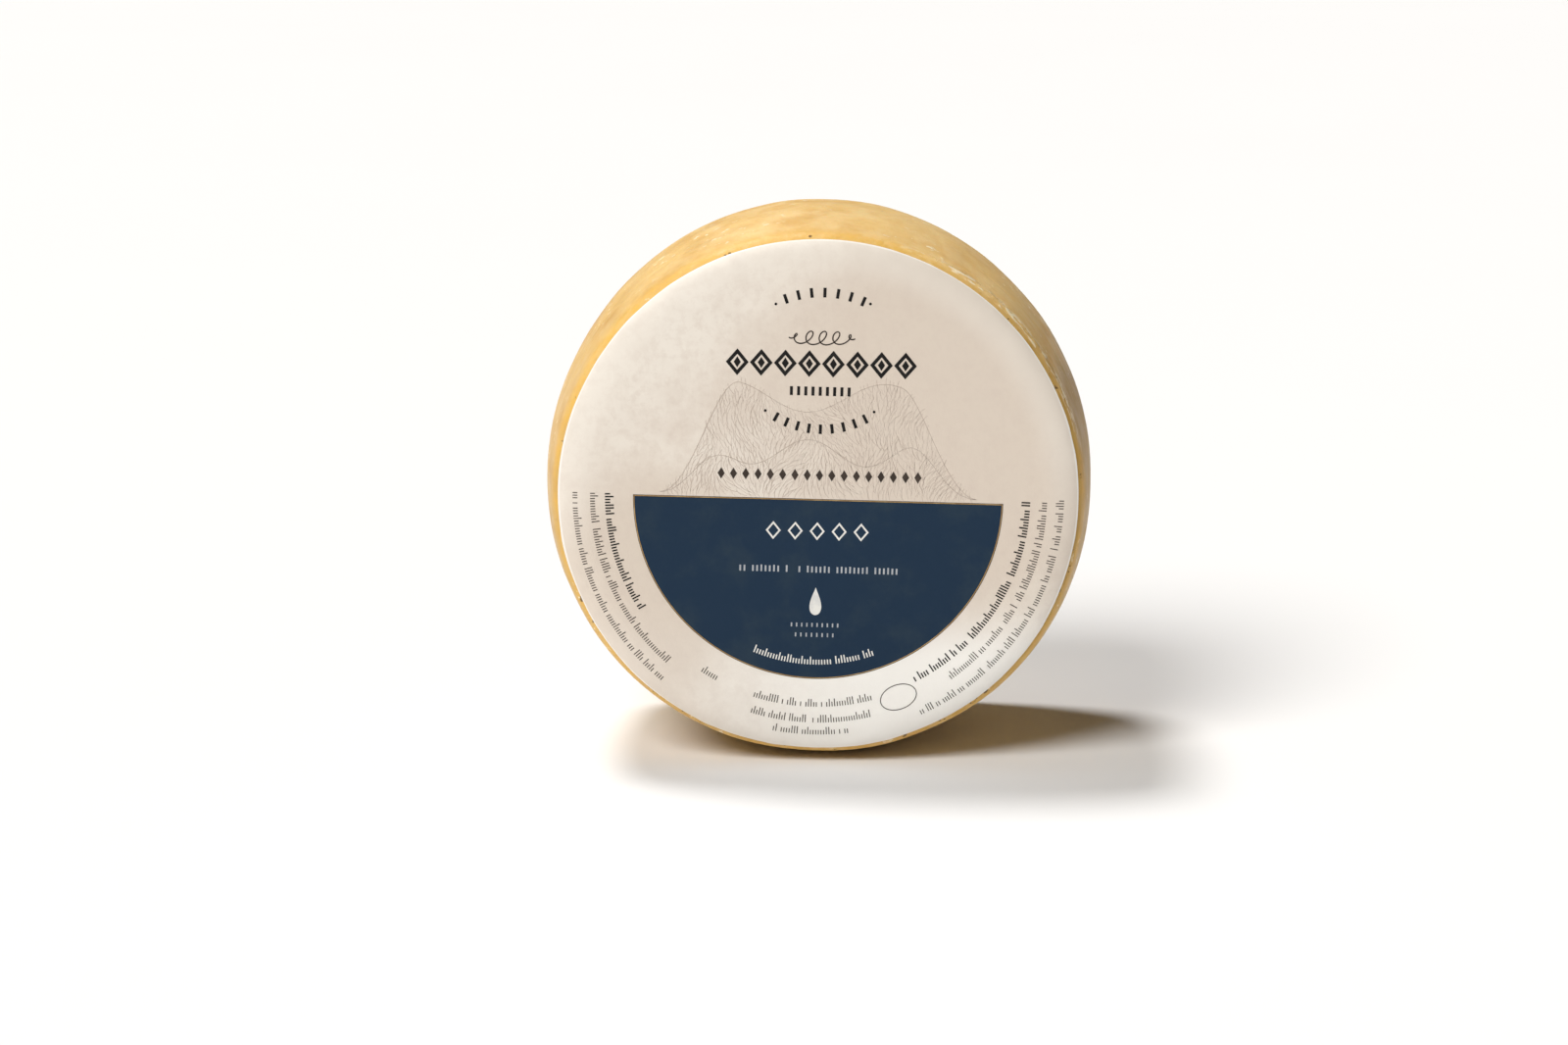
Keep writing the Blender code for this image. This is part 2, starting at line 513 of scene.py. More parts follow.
def paper_tree():
    """Turns the label's section and lets the paper follow the cheese, with small puckers at its edge."""
    tree, wires = new_tree("Paper Label", {
        "Steps": ("NodeSocketInt", PAPER_STEPS),
        **floats(lump_height=0.0, wave_height=0.0, pucker_height=0.0, edge_radius=0.0),
        "Material": ("NodeSocketMaterial", None),
    })
    disc = turn_profile(tree, wires["Geometry"], wires["Steps"])
    at = here_on_wheel(tree)
    slow = unevenness(tree, at, wires["Lump Height"], wires["Wave Height"])
    near_edge = ramp(tree, at.radius - wires["Edge Radius"], *PUCKER_EDGE)
    puckers = pattern(tree, at.place, **PUCKERS) * near_edge * wires["Pucker Height"]
    end_tree(tree, raise_along_normal(tree, disc, slow + puckers), wires["Material"])
    return tree


# Materials


def new_material(name):
    """A material with its shader and the place on the wheel, measured from the wheel's middle."""
    made = bpy.data.materials.new(name)
    made.use_nodes = True
    tree = made.node_tree
    place = build(tree, "ShaderNodeTexCoord", {}, "Object")
    from_middle = build(tree, "ShaderNodeMapping", {"Vector": place, "Location": -MIDDLE})
    return made, tree, tree.nodes["Principled BSDF"], from_middle


def set_shader(tree, shader, values):
    """Fills the shader's inputs with wires or plain values."""
    for name, value in values.items():
        plug(tree, value, shader.inputs[name])


# Sockets of the mix and random nodes that share a name, and so are picked by number
MIX_FACTOR, MIX_FIRST, MIX_SECOND, MIX_RESULT = 0, 6, 7, 2
RANDOM_LOW, RANDOM_HIGH, RANDOM_NUMBER, RANDOM_YES = 2, 3, 1, 3


def mix(tree, factor, first, second, blend="MIX"):
    """Blends two colours, each a wire or three numbers."""
    first, second = [colour if isinstance(colour, Wire) else (*colour, 1.0) for colour in (first, second)]
    inputs = {MIX_FACTOR: factor, MIX_FIRST: first, MIX_SECOND: second}
    return build(tree, "ShaderNodeMix", inputs, MIX_RESULT, data_type="RGBA", blend_type=blend)


def bump(tree, height, distance):
    """The normal of a surface with this relief."""
    return build(tree, "ShaderNodeBump", {"Height": height, "Distance": distance, "Strength": 1.0})


# Noise patterns of the rind's looks
PATCHES = dict(per_metre=30, low=0.32, high=0.60, detail=5.0, roughness=0.62)
MOTTLES = dict(per_metre=(110, 80, 110), low=0.36, high=0.66, detail=3.0, roughness=0.55)
SPECKLE = dict(per_metre=(380, 300, 380), detail=3.0, roughness=0.55, shift=(1, 4, 2))
SPECKLED = (0.50, 0.70)
POLISHED = (0.36, 0.52)
RIND_GRAIN = dict(per_metre=1300, detail=2.0)
WEAR = dict(per_metre=(210, 300, 210), low=0.38, high=0.62, detail=4.0, roughness=0.65)
DENTS = dict(per_metre=(330, 500, 330), low=0.62, high=0.74, detail=3.0, shift=(8, 3, 6))
FLECKS = dict(per_metre=(310, 350, 310), low=0.625, high=0.69, detail=2.5, roughness=0.55, shift=(7, 7, 1))
FLECK_ZONES = dict(per_metre=42, low=0.44, high=0.60, detail=2.0, shift=(3, 9, 4))
# Pale scuffs on the lip, partly real scuffs and partly painted glints of light
SCUFFS_AND_PAINTED_GLINTS = dict(per_metre=(210, 900, 500), low=0.52, high=0.60, detail=2.0, shift=(2, 6, 6))
NICKS = dict(per_metre=(340, 200, 340), low=0.67, high=0.71, detail=2.0, shift=(4, 6, 9))
GLOSS = dict(per_metre=(120, 200, 120), detail=3.0, shift=(5, 5, 5))
RIND_BUMP = 0.00020
PITS_PER_METRE = 85
PIT_EDGE = (0.055, 0.025)
PIT_PICK = (0.72, 0.73)

# Rings of the front shoulder, as radii from the axis in metres, with their soft inner and outer edges
CREST_INNER, CREST_OUTER = (0.0800, 0.0838), (0.0876, 0.0850)
CREST_WIDENING = 0.0016
BESIDE_LABEL = ((0.0834, 0.0839), (0.0856, 0.0845))
LIP = ((0.0848, 0.0853), (0.0869, 0.0860))

# Where the looks of the front begin and are full, across the wheel from its middle
FRONT_LOOKS = (-0.032, -0.039)

# The stretch beside the label, on the wheel's right, that is darkest, as angles round the axis in radians:
# partly darker rind, partly painted shade at the label's edge
DARK_RIND_AND_SHADE_MIDDLE = math.radians(5)
DARK_RIND_AND_SHADE_REACH = math.radians(75)
DARK_RIND_AND_SHADE_CORE = 0.35

# Where the painted shade of the wheel's sides begins and is full, in metres from the wheel's middle
RIGHT_PAINTED_SHADE = (0.062, 0.090)
RIGHT_PAINTED_SHADE_RISE = (-0.050, -0.005)
LEFT_PAINTED_SHADE = (-0.012, -0.080)
PAINTED_SHADE_RAGGEDNESS = 0.014

# How strongly each look shows, from 0 to 1, and the roughness of dull and of glossy rind
MOTTLE_SHARE = 0.52
SPECKLE_SHARE = 0.20
DENT_SHARE = 0.30
FLECK_SHARE = 0.85
SCUFF_AND_GLINT_SHARE = 0.90
MARK_SHARE = 0.85
LEFT_PAINTED_SHADE_SHARE = 0.42
RIGHT_PAINTED_SHADE_SHARES = (0.50, 0.84)
CREST_SHARES = (0.47, 0.92)
DARK_RIND_AND_SHADE_SHARES = (0.55, 0.90)
RIND_ROUGHNESS = (0.40, 0.60)
GLOSS_RANGE = (0.3, 0.7)
WET_SHINE = 0.30


def mottled_rind(tree, at, settings, mottles, speckle):
    """Broad patches, soft mottles and fine speckle, with painted shade that darkens the left and right
    sides.
    """
    patches = pattern(tree, at.place, **PATCHES)
    colour = mix(tree, patches, settings.deep_colour, settings.rind_colour)
    colour = mix(tree, mottles * MOTTLE_SHARE, colour, settings.pale_colour)
    colour = mix(tree, ramp(tree, speckle, *SPECKLED) * SPECKLE_SHARE, colour, settings.deep_colour)
    # Painted shade: the left and right sides are multiplied darker, the right more so higher up, where less
    # light falls
    ragged_x = at.x + (patches - 0.5) * PAINTED_SHADE_RAGGEDNESS
    rise = between(ramp(tree, at.z, *RIGHT_PAINTED_SHADE_RISE), *RIGHT_PAINTED_SHADE_SHARES)
    right = ramp(tree, ragged_x, *RIGHT_PAINTED_SHADE) * rise
    left = ramp(tree, ragged_x, *LEFT_PAINTED_SHADE) * LEFT_PAINTED_SHADE_SHARE
    return mix(tree, right + left, colour, settings.painted_side_shade, blend="MULTIPLY")


def mustard_shoulder(tree, at, settings, colour, crest, beside, worn):
    """Stronger yellow on the front shoulder, dented, with a dark line beside the label that is partly darker
    rind and partly painted shade.
    """
    colour = mix(tree, crest * between(worn, *CREST_SHARES), colour, settings.shoulder_colour)
    dents = pattern(tree, at.place, **DENTS)
    colour = mix(tree, crest * dents * DENT_SHARE, colour, settings.dent_and_shade_colour)
    # The dark line beside the label: partly darker rind, partly painted shade at the label's edge on the
    # right
    from_line = maths(tree, "ABSOLUTE", at.angle - DARK_RIND_AND_SHADE_MIDDLE)
    shaded = ramp(tree, from_line, DARK_RIND_AND_SHADE_REACH, DARK_RIND_AND_SHADE_CORE)
    return mix(tree, beside * shaded * between(worn, *DARK_RIND_AND_SHADE_SHARES), colour, settings.dent_and_shade_colour)


def cream_flecks_and_glints(tree, at, lip):
    """Flecks in loose groups, and pale scuffs along the lip of the rough stretch that are partly painted
    glints of light on the wet rind.
    """
    pale_marks = pattern(tree, at.place, **FLECKS) * pattern(tree, at.place, **FLECK_ZONES)
    along = combine(tree, at.angle * WHEEL_RADIUS, at.radius, at.across)
    scuffs_and_glints = pattern(tree, along, **SCUFFS_AND_PAINTED_GLINTS) * lip
    return maths(tree, "MAXIMUM", pale_marks * FLECK_SHARE, scuffs_and_glints * SCUFF_AND_GLINT_SHARE)


def dark_marks(tree, at, beside):
    """Small round pits all over, and nicks beside the label."""
    cells = build(tree, "ShaderNodeTexVoronoi", {"Vector": at.place, "Scale": PITS_PER_METRE}, "Distance",
                  feature="F1")
    pick, _, _ = separate(tree, cells.twin("Color"))
    pits = ramp(tree, cells, *PIT_EDGE) * ramp(tree, pick, *PIT_PICK)
    return maths(tree, "MAXIMUM", pits, pattern(tree, at.place, **NICKS) * beside)


def rind_material(settings):
    """Waxy golden rind: soft mottles, cream flecks, dark pits, and a mustard band beside the label."""
    made, tree, shader, place = new_material("rind")
    at = WheelPlace(tree, place)
    front = ramp(tree, at.across, *FRONT_LOOKS)
    rough_stretch = rough_patch(tree, at.angle, ROUGH_COLOUR_CORE)
    band = at.radius + rough_stretch * CREST_WIDENING
    crest = ramp(tree, at.radius, *CREST_INNER) * ramp(tree, band, *CREST_OUTER) * front
    beside = ring(tree, at.radius, *BESIDE_LABEL) * front
    lip = ring(tree, at.radius, *LIP) * front * rough_stretch
    mottles = pattern(tree, place, **MOTTLES)
    speckle = noise_at(tree, place, **SPECKLE)
    worn = pattern(tree, place, **WEAR)
    pale_marks = cream_flecks_and_glints(tree, at, lip)
    marks = dark_marks(tree, at, beside)

    colour = mottled_rind(tree, at, settings, mottles, speckle)
    colour = mustard_shoulder(tree, at, settings, colour, crest, beside, worn)
    # Cream flecks, and on the lip pale scuffs that are partly painted glints
    colour = mix(tree, pale_marks, colour, settings.fleck_and_glint_colour)
    colour = mix(tree, marks * MARK_SHARE, colour, settings.pit_colour)
    gloss = ramp(tree, noise_at(tree, place, **GLOSS), *GLOSS_RANGE, smooth=False)
    wet = lip * ramp(tree, speckle, *POLISHED)
    grain = noise_at(tree, place, **RIND_GRAIN)
    height = mottles * 0.25 + speckle * 0.30 + grain * 0.25 + pale_marks * 0.4 - marks * 2.0 + worn * crest * 0.4
    set_shader(tree, shader, {
        "Base Color": colour,
        "Roughness": between(gloss, *RIND_ROUGHNESS) - wet * WET_SHINE,
        "Specular IOR Level": 0.32,
        "Subsurface Weight": 0.12,
        "Subsurface Radius": (1.0, 0.55, 0.22),
        "Subsurface Scale": 0.004,
        "Normal": bump(tree, height, RIND_BUMP),
    })
    return made


# Noise patterns of the paper and of the ink that lies on it
CLOUDS = dict(per_metre=(34, 5, 38), low=0.38, high=0.66, detail=5.0, roughness=0.66)
STAINS = dict(per_metre=(13, 5, 15), low=0.30, high=0.58, detail=3.0, shift=(6, 1, 2))
SPECKS = dict(per_metre=150, low=0.45, high=0.72, detail=4.0, roughness=0.65, shift=(1, 8, 4))
RUBBED = dict(per_metre=(210, 5, 70), low=0.50, high=0.74, detail=3.0, shift=(2, 2, 8))
FRECKLES = dict(per_metre=330, low=0.44, high=0.66, detail=3.0, roughness=0.7, shift=(5, 2, 7))
FIBRES = dict(per_metre=(1400, 5, 900), detail=2.0)
THIN_INK = (0.42, 0.75)
PAPER_BUMP = 0.00003

# Areas of the label, in metres from its middle: where each begins and where it is full. The first three
# have one pair sideways and one upwards, and the corner is measured up and to the left.
PAINTED_LIGHT_FOOT_AREA = ((-0.045, 0.0), (-0.040, -0.070))
PAINTED_SHADE_RIGHT_AREA = ((-0.010, 0.070), (-0.040, 0.010))
LEFT_STAIN_AREA = ((-0.025, -0.065), (0.025, -0.020))
PAINTED_LIGHT_CORNER = (0.045, 0.095)
MIDDLE_DARKENING = (0.078, 0.060)
OUTER_RING = (0.0700, 0.0800)
PAINTED_LIGHT_RING_RISE = (-0.030, 0.030)
PAINTED_LIGHT_FOOT = (-0.030, -0.055)
PAINTED_LIGHT_FOOT_SIDE = (-0.050, 0.020)
CUT_RIM = (0.0834, 0.0838)

# How strongly each look of the paper shows; a pair runs from where its area begins to where it is full
CLOUD_SHARE = 0.72
SPECK_SHARE = 0.40
RUBBED_SHARE = 0.20
FRECKLE_SHARE = 0.28
STAIN_SHARE = 0.70
MIDDLE_SHARE = 0.22
PAINTED_SHADE_RIGHT_SHARE = 0.55
LEFT_SHARE = 0.50
RIM_SHARE = 0.7
SHOWN_AT_FOOT = (1.0, 0.15)
SHOWN_AT_CORNER = (1.0, 0.25)
SPECKS_AT_CORNER = (1.0, 0.6)
PAINTED_LIGHT_RING_SHARES = (0.12, 0.50)
PAINTED_LIGHT_FOOT_SHARES = (0.12, 0.88)
PAPER_ROUGHNESS = 0.42
FIBRE_ROUGHNESS = 0.12


def area(tree, at, sideways, upwards):
    """A soft-edged part of the label."""
    return ramp(tree, at.x, *sideways) * ramp(tree, at.z, *upwards)


def stains_and_painted_shade(tree, at):
    """Broad darker areas: random stains, a darkening towards the middle, painted shade to the right, and a
    stain low on the left.
    """
    stains = pattern(tree, at.place, **STAINS)
    middle = ramp(tree, at.radius, *MIDDLE_DARKENING) * MIDDLE_SHARE
    # Painted shade: the right of the label, away from the light, is painted darker
    right = area(tree, at, *PAINTED_SHADE_RIGHT_AREA) * PAINTED_SHADE_RIGHT_SHARE
    low_left = area(tree, at, *LEFT_STAIN_AREA) * LEFT_SHARE
    return stains * STAIN_SHARE + middle + right + low_left


def painted_light_foot_and_cut_rim(tree, at):
    """Painted light on the label's foot, which is strongest on the right, and the bright cut of its rim."""
    side = between(ramp(tree, at.x, *PAINTED_LIGHT_FOOT_SIDE), *PAINTED_LIGHT_FOOT_SHARES)
    foot = ramp(tree, at.z, *PAINTED_LIGHT_FOOT) * side
    rim = ramp(tree, at.radius, *CUT_RIM) * RIM_SHARE
    return maths(tree, "MAXIMUM", foot, rim)


def paper_material(settings):
    """Satin parchment-coloured paper with soft clouds and faint rubbed lines."""
    made, tree, shader, place = new_material("label_paper")
    at = WheelPlace(tree, place)
    # Painted light: clouds and stains are thinned towards the foot, where more light comes from the floor in
    # front
    lit_foot_area = area(tree, at, *PAINTED_LIGHT_FOOT_AREA)
    # Painted light: clouds and specks are thinned towards the upper left, where the light falls
    lit_corner = ramp(tree, at.z - at.x, *PAINTED_LIGHT_CORNER)
    shown = between(lit_foot_area, *SHOWN_AT_FOOT) * between(lit_corner, *SHOWN_AT_CORNER)
    clouds = pattern(tree, place, **CLOUDS) * CLOUD_SHARE * shown
    specks = pattern(tree, place, **SPECKS) * SPECK_SHARE * between(lit_corner, *SPECKS_AT_CORNER)
    rubbed = pattern(tree, place, **RUBBED) * RUBBED_SHARE
    freckles = pattern(tree, place, **FRECKLES) * FRECKLE_SHARE
    # Painted light: the outer ring is kept paler, more so towards its top, which tilts towards the light
    rise = between(ramp(tree, at.z, *PAINTED_LIGHT_RING_RISE), *PAINTED_LIGHT_RING_SHARES)
    painted_light_ring = ramp(tree, at.radius, *OUTER_RING) * rise

    colour = mix(tree, clouds, settings.paper_colour, settings.cloud_colour)
    colour = mix(tree, stains_and_painted_shade(tree, at) * shown, colour, settings.stain_and_shade_colour)
    for share in (specks, rubbed, freckles):
        colour = mix(tree, share, colour, settings.cloud_colour)
    colour = mix(tree, painted_light_ring, colour, settings.paper_colour)
    # Painted light at the foot, and the white cut of the rim
    colour = mix(tree, painted_light_foot_and_cut_rim(tree, at), colour, settings.cut_and_painted_light_colour)
    fibres = noise_at(tree, place, **FIBRES)
    set_shader(tree, shader, {
        "Base Color": colour,
        "Roughness": fibres * FIBRE_ROUGHNESS + PAPER_ROUGHNESS,
        "Normal": bump(tree, fibres, PAPER_BUMP),
    })
    return made


def ink_material(name, colour, worn_colour, wear, roughness, gloss=0.5, per_metre=260):
    """Printing ink, a little uneven where it lies thinner on the paper."""
    made, tree, shader, place = new_material(name)
    thin_noise = noise_at(tree, place, (per_metre, 5, per_metre), detail=4.0, roughness=0.6)
    thin = ramp(tree, thin_noise, *THIN_INK)
    fibres = noise_at(tree, place, **FIBRES)
    set_shader(tree, shader, {
        "Base Color": mix(tree, thin * wear, colour, worn_colour),
        "Roughness": fibres * FIBRE_ROUGHNESS + roughness,
        "Specular IOR Level": gloss,
        "Normal": bump(tree, fibres, PAPER_BUMP),
    })
    return made


# How each ink wears, and how rough and glossy it is
NAVY = dict(wear=0.7, roughness=0.50, gloss=0.22, per_metre=70)
GILT = dict(worn_colour=(0.62, 0.44, 0.20), wear=0.6, roughness=0.36)
WHITE = dict(colour=(0.78, 0.77, 0.73), worn_colour=(0.55, 0.56, 0.57), wear=0.5, roughness=0.42)
PALE = dict(colour=(0.42, 0.44, 0.47), worn_colour=(0.20, 0.22, 0.26), wear=0.6, roughness=0.42)
BLACK = dict(worn_colour=(0.03, 0.027, 0.024), wear=0.5, roughness=0.5, gloss=0.2)
BROWN = dict(worn_colour=(0.09, 0.065, 0.05), wear=0.5, roughness=0.5, gloss=0.3)
FAINT = dict(worn_colour=(0.70, 0.62, 0.54), wear=0.8, roughness=0.45, per_metre=120)


def floor_material(settings):
    """Matt white with broad, barely darker areas."""
    made, tree, shader, place = new_material("studio_floor")
    areas = noise_at(tree, place, FLOOR_AREAS_PER_METRE, detail=2.0)
    darker = [value * FLOOR_SHADE for value in settings.floor_colour]
    set_shader(tree, shader, {
        "Base Color": mix(tree, areas, settings.floor_colour, darker),
        "Roughness": FLOOR_ROUGHNESS,
    })
    return made


# The print, drawn flat with X to the right and Y up from the label's middle, in millimetres

# How far before the label the rays start that find the paper
CAST_DISTANCE = 0.05

# How finely arcs are divided: degrees for each step, and the fewest steps
ARC_STEP = 3
MIN_ARC_STEPS = 8

# Blades of the engraved grass: their bend at a length of 1, how far they lean, and how their sizes vary
BLADE_BEND = ((-0.5, -0.08, 0.0), (0.05, 0.12, 0.0), (0.5, -0.02, 0.0))
BLADE_STEPS = 4
BLADE_LEAN = 4.0
BLADE_JITTER = 0.35
BLADE_SIZES = (0.45, 1.0)
BLADES_PER_SQUARE_METRE = 2000000.0
LEANING = dict(per_metre=60, detail=1.0, shift=(3, 3, 0))

MARK_INPUTS = {
    **floats(pitch=1.0, width=1.0, height=1.0, thickness=0.00003),
    **floats(tall_share=0.0, short_height=1.0, gap_chance=0.0),
    "Square": ("NodeSocketBool", True),
    "Sides": ("NodeSocketInt", 4),
    "Seed": ("NodeSocketInt", 0),
    "Material": ("NodeSocketMaterial", None),
}


def marks_tree():
    """Sets plain marks along each path, short and tall ones on one foot line, with gaps left out."""
    tree, wires = new_tree("Marks Along Paths", MARK_INPUTS)
    points = build(tree, "GeometryNodeCurveToPoints", {
        "Curve": wires["Geometry"],
        "Length": wires["Pitch"],
    }, "Points", mode="LENGTH")
    tangent = points.twin("Tangent")
    keep = chance(tree, 1.0 - wires["Gap Chance"], wires["Seed"])
    tall = chance(tree, wires["Tall Share"], wires["Seed"] + 1)
    share = build(tree, "GeometryNodeSwitch", {
        "Switch": tall,
        "False": wires["Short Height"],
        "True": 1.0,
    }, input_type="FLOAT")
    height = wires["Height"] * share
    upward = vector_maths(tree, "CROSS_PRODUCT", (0.0, 0.0, 1.0), tangent)
    standing = move_by(tree, points, scaled(tree, upward, (height - wires["Height"]) * 0.5))

    box = build(tree, "GeometryNodeMeshCube", {}, "Mesh")
    disc = build(tree, "GeometryNodeMeshCylinder", {
        "Vertices": wires["Sides"],
        "Radius": 0.5,
        "Depth": 1.0,
    }, "Mesh")
    mark = build(tree, "GeometryNodeSwitch", {
        "Switch": wires["Square"],
        "False": disc,
        "True": box,
    }, input_type="GEOMETRY")
    along = build(tree, "FunctionNodeAlignRotationToVector", {"Vector": tangent}, axis="X", pivot_axis="Z")
    marks = build(tree, "GeometryNodeInstanceOnPoints", {
        "Points": standing,
        "Selection": keep,
        "Instance": mark,
        "Rotation": along,
        "Scale": combine(tree, wires["Width"], height, wires["Thickness"]),
    })
    end_tree(tree, marks, wires["Material"])
    return tree


def chance(tree, probability, seed):
    """True for a random share of the points."""
    inputs = {"Probability": probability, "Seed": seed}
    return build(tree, "FunctionNodeRandomValue", inputs, RANDOM_YES, data_type="BOOLEAN")


def random_between(tree, low, high, seed):
    """A random number for each point."""
    inputs = {RANDOM_LOW: low, RANDOM_HIGH: high, "Seed": seed}
    return build(tree, "FunctionNodeRandomValue", inputs, RANDOM_NUMBER, data_type="FLOAT")


def flat_ribbon(tree, curve, width, thickness):
    """A flat closed ribbon along a curve that lies in the drawing's plane."""
    level = build(tree, "GeometryNodeSetCurveNormal", {"Curve": curve}, mode="Z_UP")
    section = build(tree, "GeometryNodeCurvePrimitiveQuadrilateral", {"Width": width, "Height": thickness})
    return build(tree, "GeometryNodeCurveToMesh", {
        "Curve": level,
        "Profile Curve": section,
        "Fill Caps": True,
    })


def ribbon_tree():
    """A thin printed line along each path."""
    tree, wires = new_tree("Printed Line", {
        **floats(step=0.001, width=0.0005, thickness=0.00003),
        "Material": ("NodeSocketMaterial", None),
    })
    even = build(tree, "GeometryNodeResampleCurve", {
        "Curve": wires["Geometry"],
        "Length": wires["Step"],
    }, mode="LENGTH")
    end_tree(tree, flat_ribbon(tree, even, wires["Width"], wires["Thickness"]), wires["Material"])
    return tree


def half_disc_tree():
    """The straight-topped half disc, as a fine grid that can follow the paper."""
    tree, wires = new_tree("Half Disc", {
        **floats(radius=0.06),
        "Rings": ("NodeSocketInt", 26),
        "Steps": ("NodeSocketInt", 110),
        "Material": ("NodeSocketMaterial", None),
    })
    grid = unit_grid(tree, wires["Steps"], wires["Rings"])
    column, row, _ = separate(tree, position(tree))
    angle = (column + 0.5) * math.pi
    reach = (0.5 - row) * wires["Radius"]
    bent = combine(
        tree,
        reach * maths(tree, "COSINE", angle) * -1.0,
        reach * maths(tree, "SINE", angle) * -1.0,
        0.0,
    )
    end_tree(tree, merged(tree, move_to(tree, grid, bent)), wires["Material"])
    return tree


def grass_tree():
    """Fine curved blades over a flat hill shape, in the manner of a faint engraving."""
    tree, wires = new_tree("Engraved Grass", {
        **floats(spacing=0.002, blade_length=0.004, blade_width=0.0002, thickness=0.00002),
        "Seed": ("NodeSocketInt", 0),
        "Material": ("NodeSocketMaterial", None),
    })
    points = build(tree, "GeometryNodeDistributePointsOnFaces", {
        "Mesh": wires["Geometry"],
        "Distance Min": wires["Spacing"],
        "Density Max": BLADES_PER_SQUARE_METRE,
        "Seed": wires["Seed"],
    }, "Points", distribute_method="POISSON")
    start, middle, end = BLADE_BEND
    bend = build(tree, "GeometryNodeCurveQuadraticBezier", {
        "Resolution": BLADE_STEPS,
        "Start": start,
        "Middle": middle,
        "End": end,
    })
    stretch = combine(tree, wires["Blade Length"], wires["Blade Length"], 1.0)
    long = build(tree, "GeometryNodeTransform", {"Geometry": bend, "Scale": stretch})
    blade = flat_ribbon(tree, long, wires["Blade Width"], wires["Thickness"])

    lean = (noise_at(tree, position(tree), **LEANING) - 0.5) * BLADE_LEAN + math.pi / 2
    jitter = random_between(tree, -BLADE_JITTER, BLADE_JITTER, wires["Seed"] + 7)
    size = random_between(tree, *BLADE_SIZES, wires["Seed"] + 9)
    blades = build(tree, "GeometryNodeInstanceOnPoints", {
        "Points": points,
        "Instance": blade,
        "Rotation": combine(tree, 0.0, 0.0, lean + jitter),
        "Scale": combine(tree, size, size, 1.0),
    })
    end_tree(tree, blades, wires["Material"])
    return tree


def lay_tree():
    """Turns a flat drawing upright with the label and lays it on the paper, just clear of it."""
    tree, wires = new_tree("Lay On Paper", {
        "Paper": ("NodeSocketObject", None),
        **floats(turn=0.0, lift=0.0),
        "Material": ("NodeSocketMaterial", None),
    })
    turned = build(tree, "ShaderNodeVectorRotate", {
        "Vector": position(tree),
        "Angle": wires["Turn"],
    }, rotation_type="Z_AXIS")
    right, up, out = separate(tree, turned)
    hit = build(tree, "GeometryNodeRaycast", {
        "Target Geometry": build(tree, "GeometryNodeObjectInfo", {"Object": wires["Paper"]}, "Geometry"),
        "Source Position": combine(tree, right + MIDDLE.x, LABEL_LOW.y - CAST_DISTANCE, up + MIDDLE.z),
        "Ray Direction": (0.0, 1.0, 0.0),
    }, "Hit Position")
    outward = combine(tree, 0.0, (out + wires["Lift"]) * -1.0, 0.0)
    laid = move_to(tree, wires["Geometry"], vector_maths(tree, "ADD", hit, outward))
    end_tree(tree, laid, wires["Material"])
    return tree


def arc(radius, first, last, middle=(0.0, 0.0)):
    """Points along an arc, in millimetres, between two angles in degrees."""
    steps = max(MIN_ARC_STEPS, int(abs(last - first) / ARC_STEP))
    angles = [math.radians(angle) for angle in spread(first, last, steps)]
    return [(middle[0] + radius * math.cos(angle), middle[1] + radius * math.sin(angle)) for angle in angles]


def row(left, right, height):
    """A straight level row."""
    return [(left, height), (right, height)]


def paths(name, lines, closed=False):
    """A curve object with one straight-sided spline for each list of points."""
    curve = bpy.data.curves.new(name, "CURVE")
    curve.dimensions = "3D"
    for points in lines:
        spline = curve.splines.new("POLY")
        spline.points.add(len(points) - 1)
        for point, (x, y) in zip(spline.points, points):
            point.co = (x * MM, y * MM, 0.0, 1.0)
        spline.use_cyclic_u = closed
    return new_piece(name, curve)


def flat_shape(name, strips):
    """Flat shapes, each filled between two lines of points that run side by side."""
    shape = bmesh.new()
    for first, second in strips:
        pairs = [[shape.verts.new((x * MM, y * MM, 0.0)) for x, y in pair] for pair in zip(first, second)]
        for (a, b), (c, d) in zip(pairs, pairs[1:]):
            shape.faces.new((a, b, d, c))
    bmesh.ops.remove_doubles(shape, verts=shape.verts, dist=MERGE)
    bmesh.ops.recalc_face_normals(shape, faces=shape.faces)
    mesh = bpy.data.meshes.new(name)
    shape.to_mesh(mesh)
    shape.free()
    return new_piece(name, mesh)


def print_shape(name, strips, material, lift):
    """Prints filled shapes."""
    piece = flat_shape(name, strips)
    add_ink_thickness(piece)
    return lay_on_paper(piece, material, lift)


def add_ink_thickness(piece):
    """Gives a flat shape the thickness of the ink."""
    sheet = piece.modifiers.new("thickness", "SOLIDIFY")
    sheet.thickness = bpy.context.scene.cheese_label.ink_thickness
    sheet.offset = 0.0


def lay_on_paper(piece, material, lift):
    """Lays a flat drawing on the label and makes it a plain mesh."""
    settings = bpy.context.scene.cheese_label
    use_tree(piece, tree_named("Lay On Paper", lay_tree), {
        "Paper": bpy.data.objects["label_paper"],
        "Turn": settings.turn,
        "Lift": lift,
        "Material": material,
    })
    made = plain_mesh(piece)
    hand_over(made, "label_paper")
    return made


def tree_named(name, maker):
    """The tree of this name, made the first time that it is asked for."""
    return bpy.data.node_groups.get(name) or maker()


def print_marks(name, lines, material, lift, pitch, width, height, **more):
    """Prints marks along rows, with the pitch, width and height in millimetres."""
    piece = paths(name, lines)
    values = {
        "Pitch": pitch * MM,
        "Width": width * MM,
        "Height": height * MM,
        "Thickness": bpy.context.scene.cheese_label.ink_thickness,
        "Material": material,
        **{label.replace("_", " ").title(): value for label, value in more.items()},
    }
    use_tree(piece, tree_named("Marks Along Paths", marks_tree), values)
    return lay_on_paper(piece, material, lift)


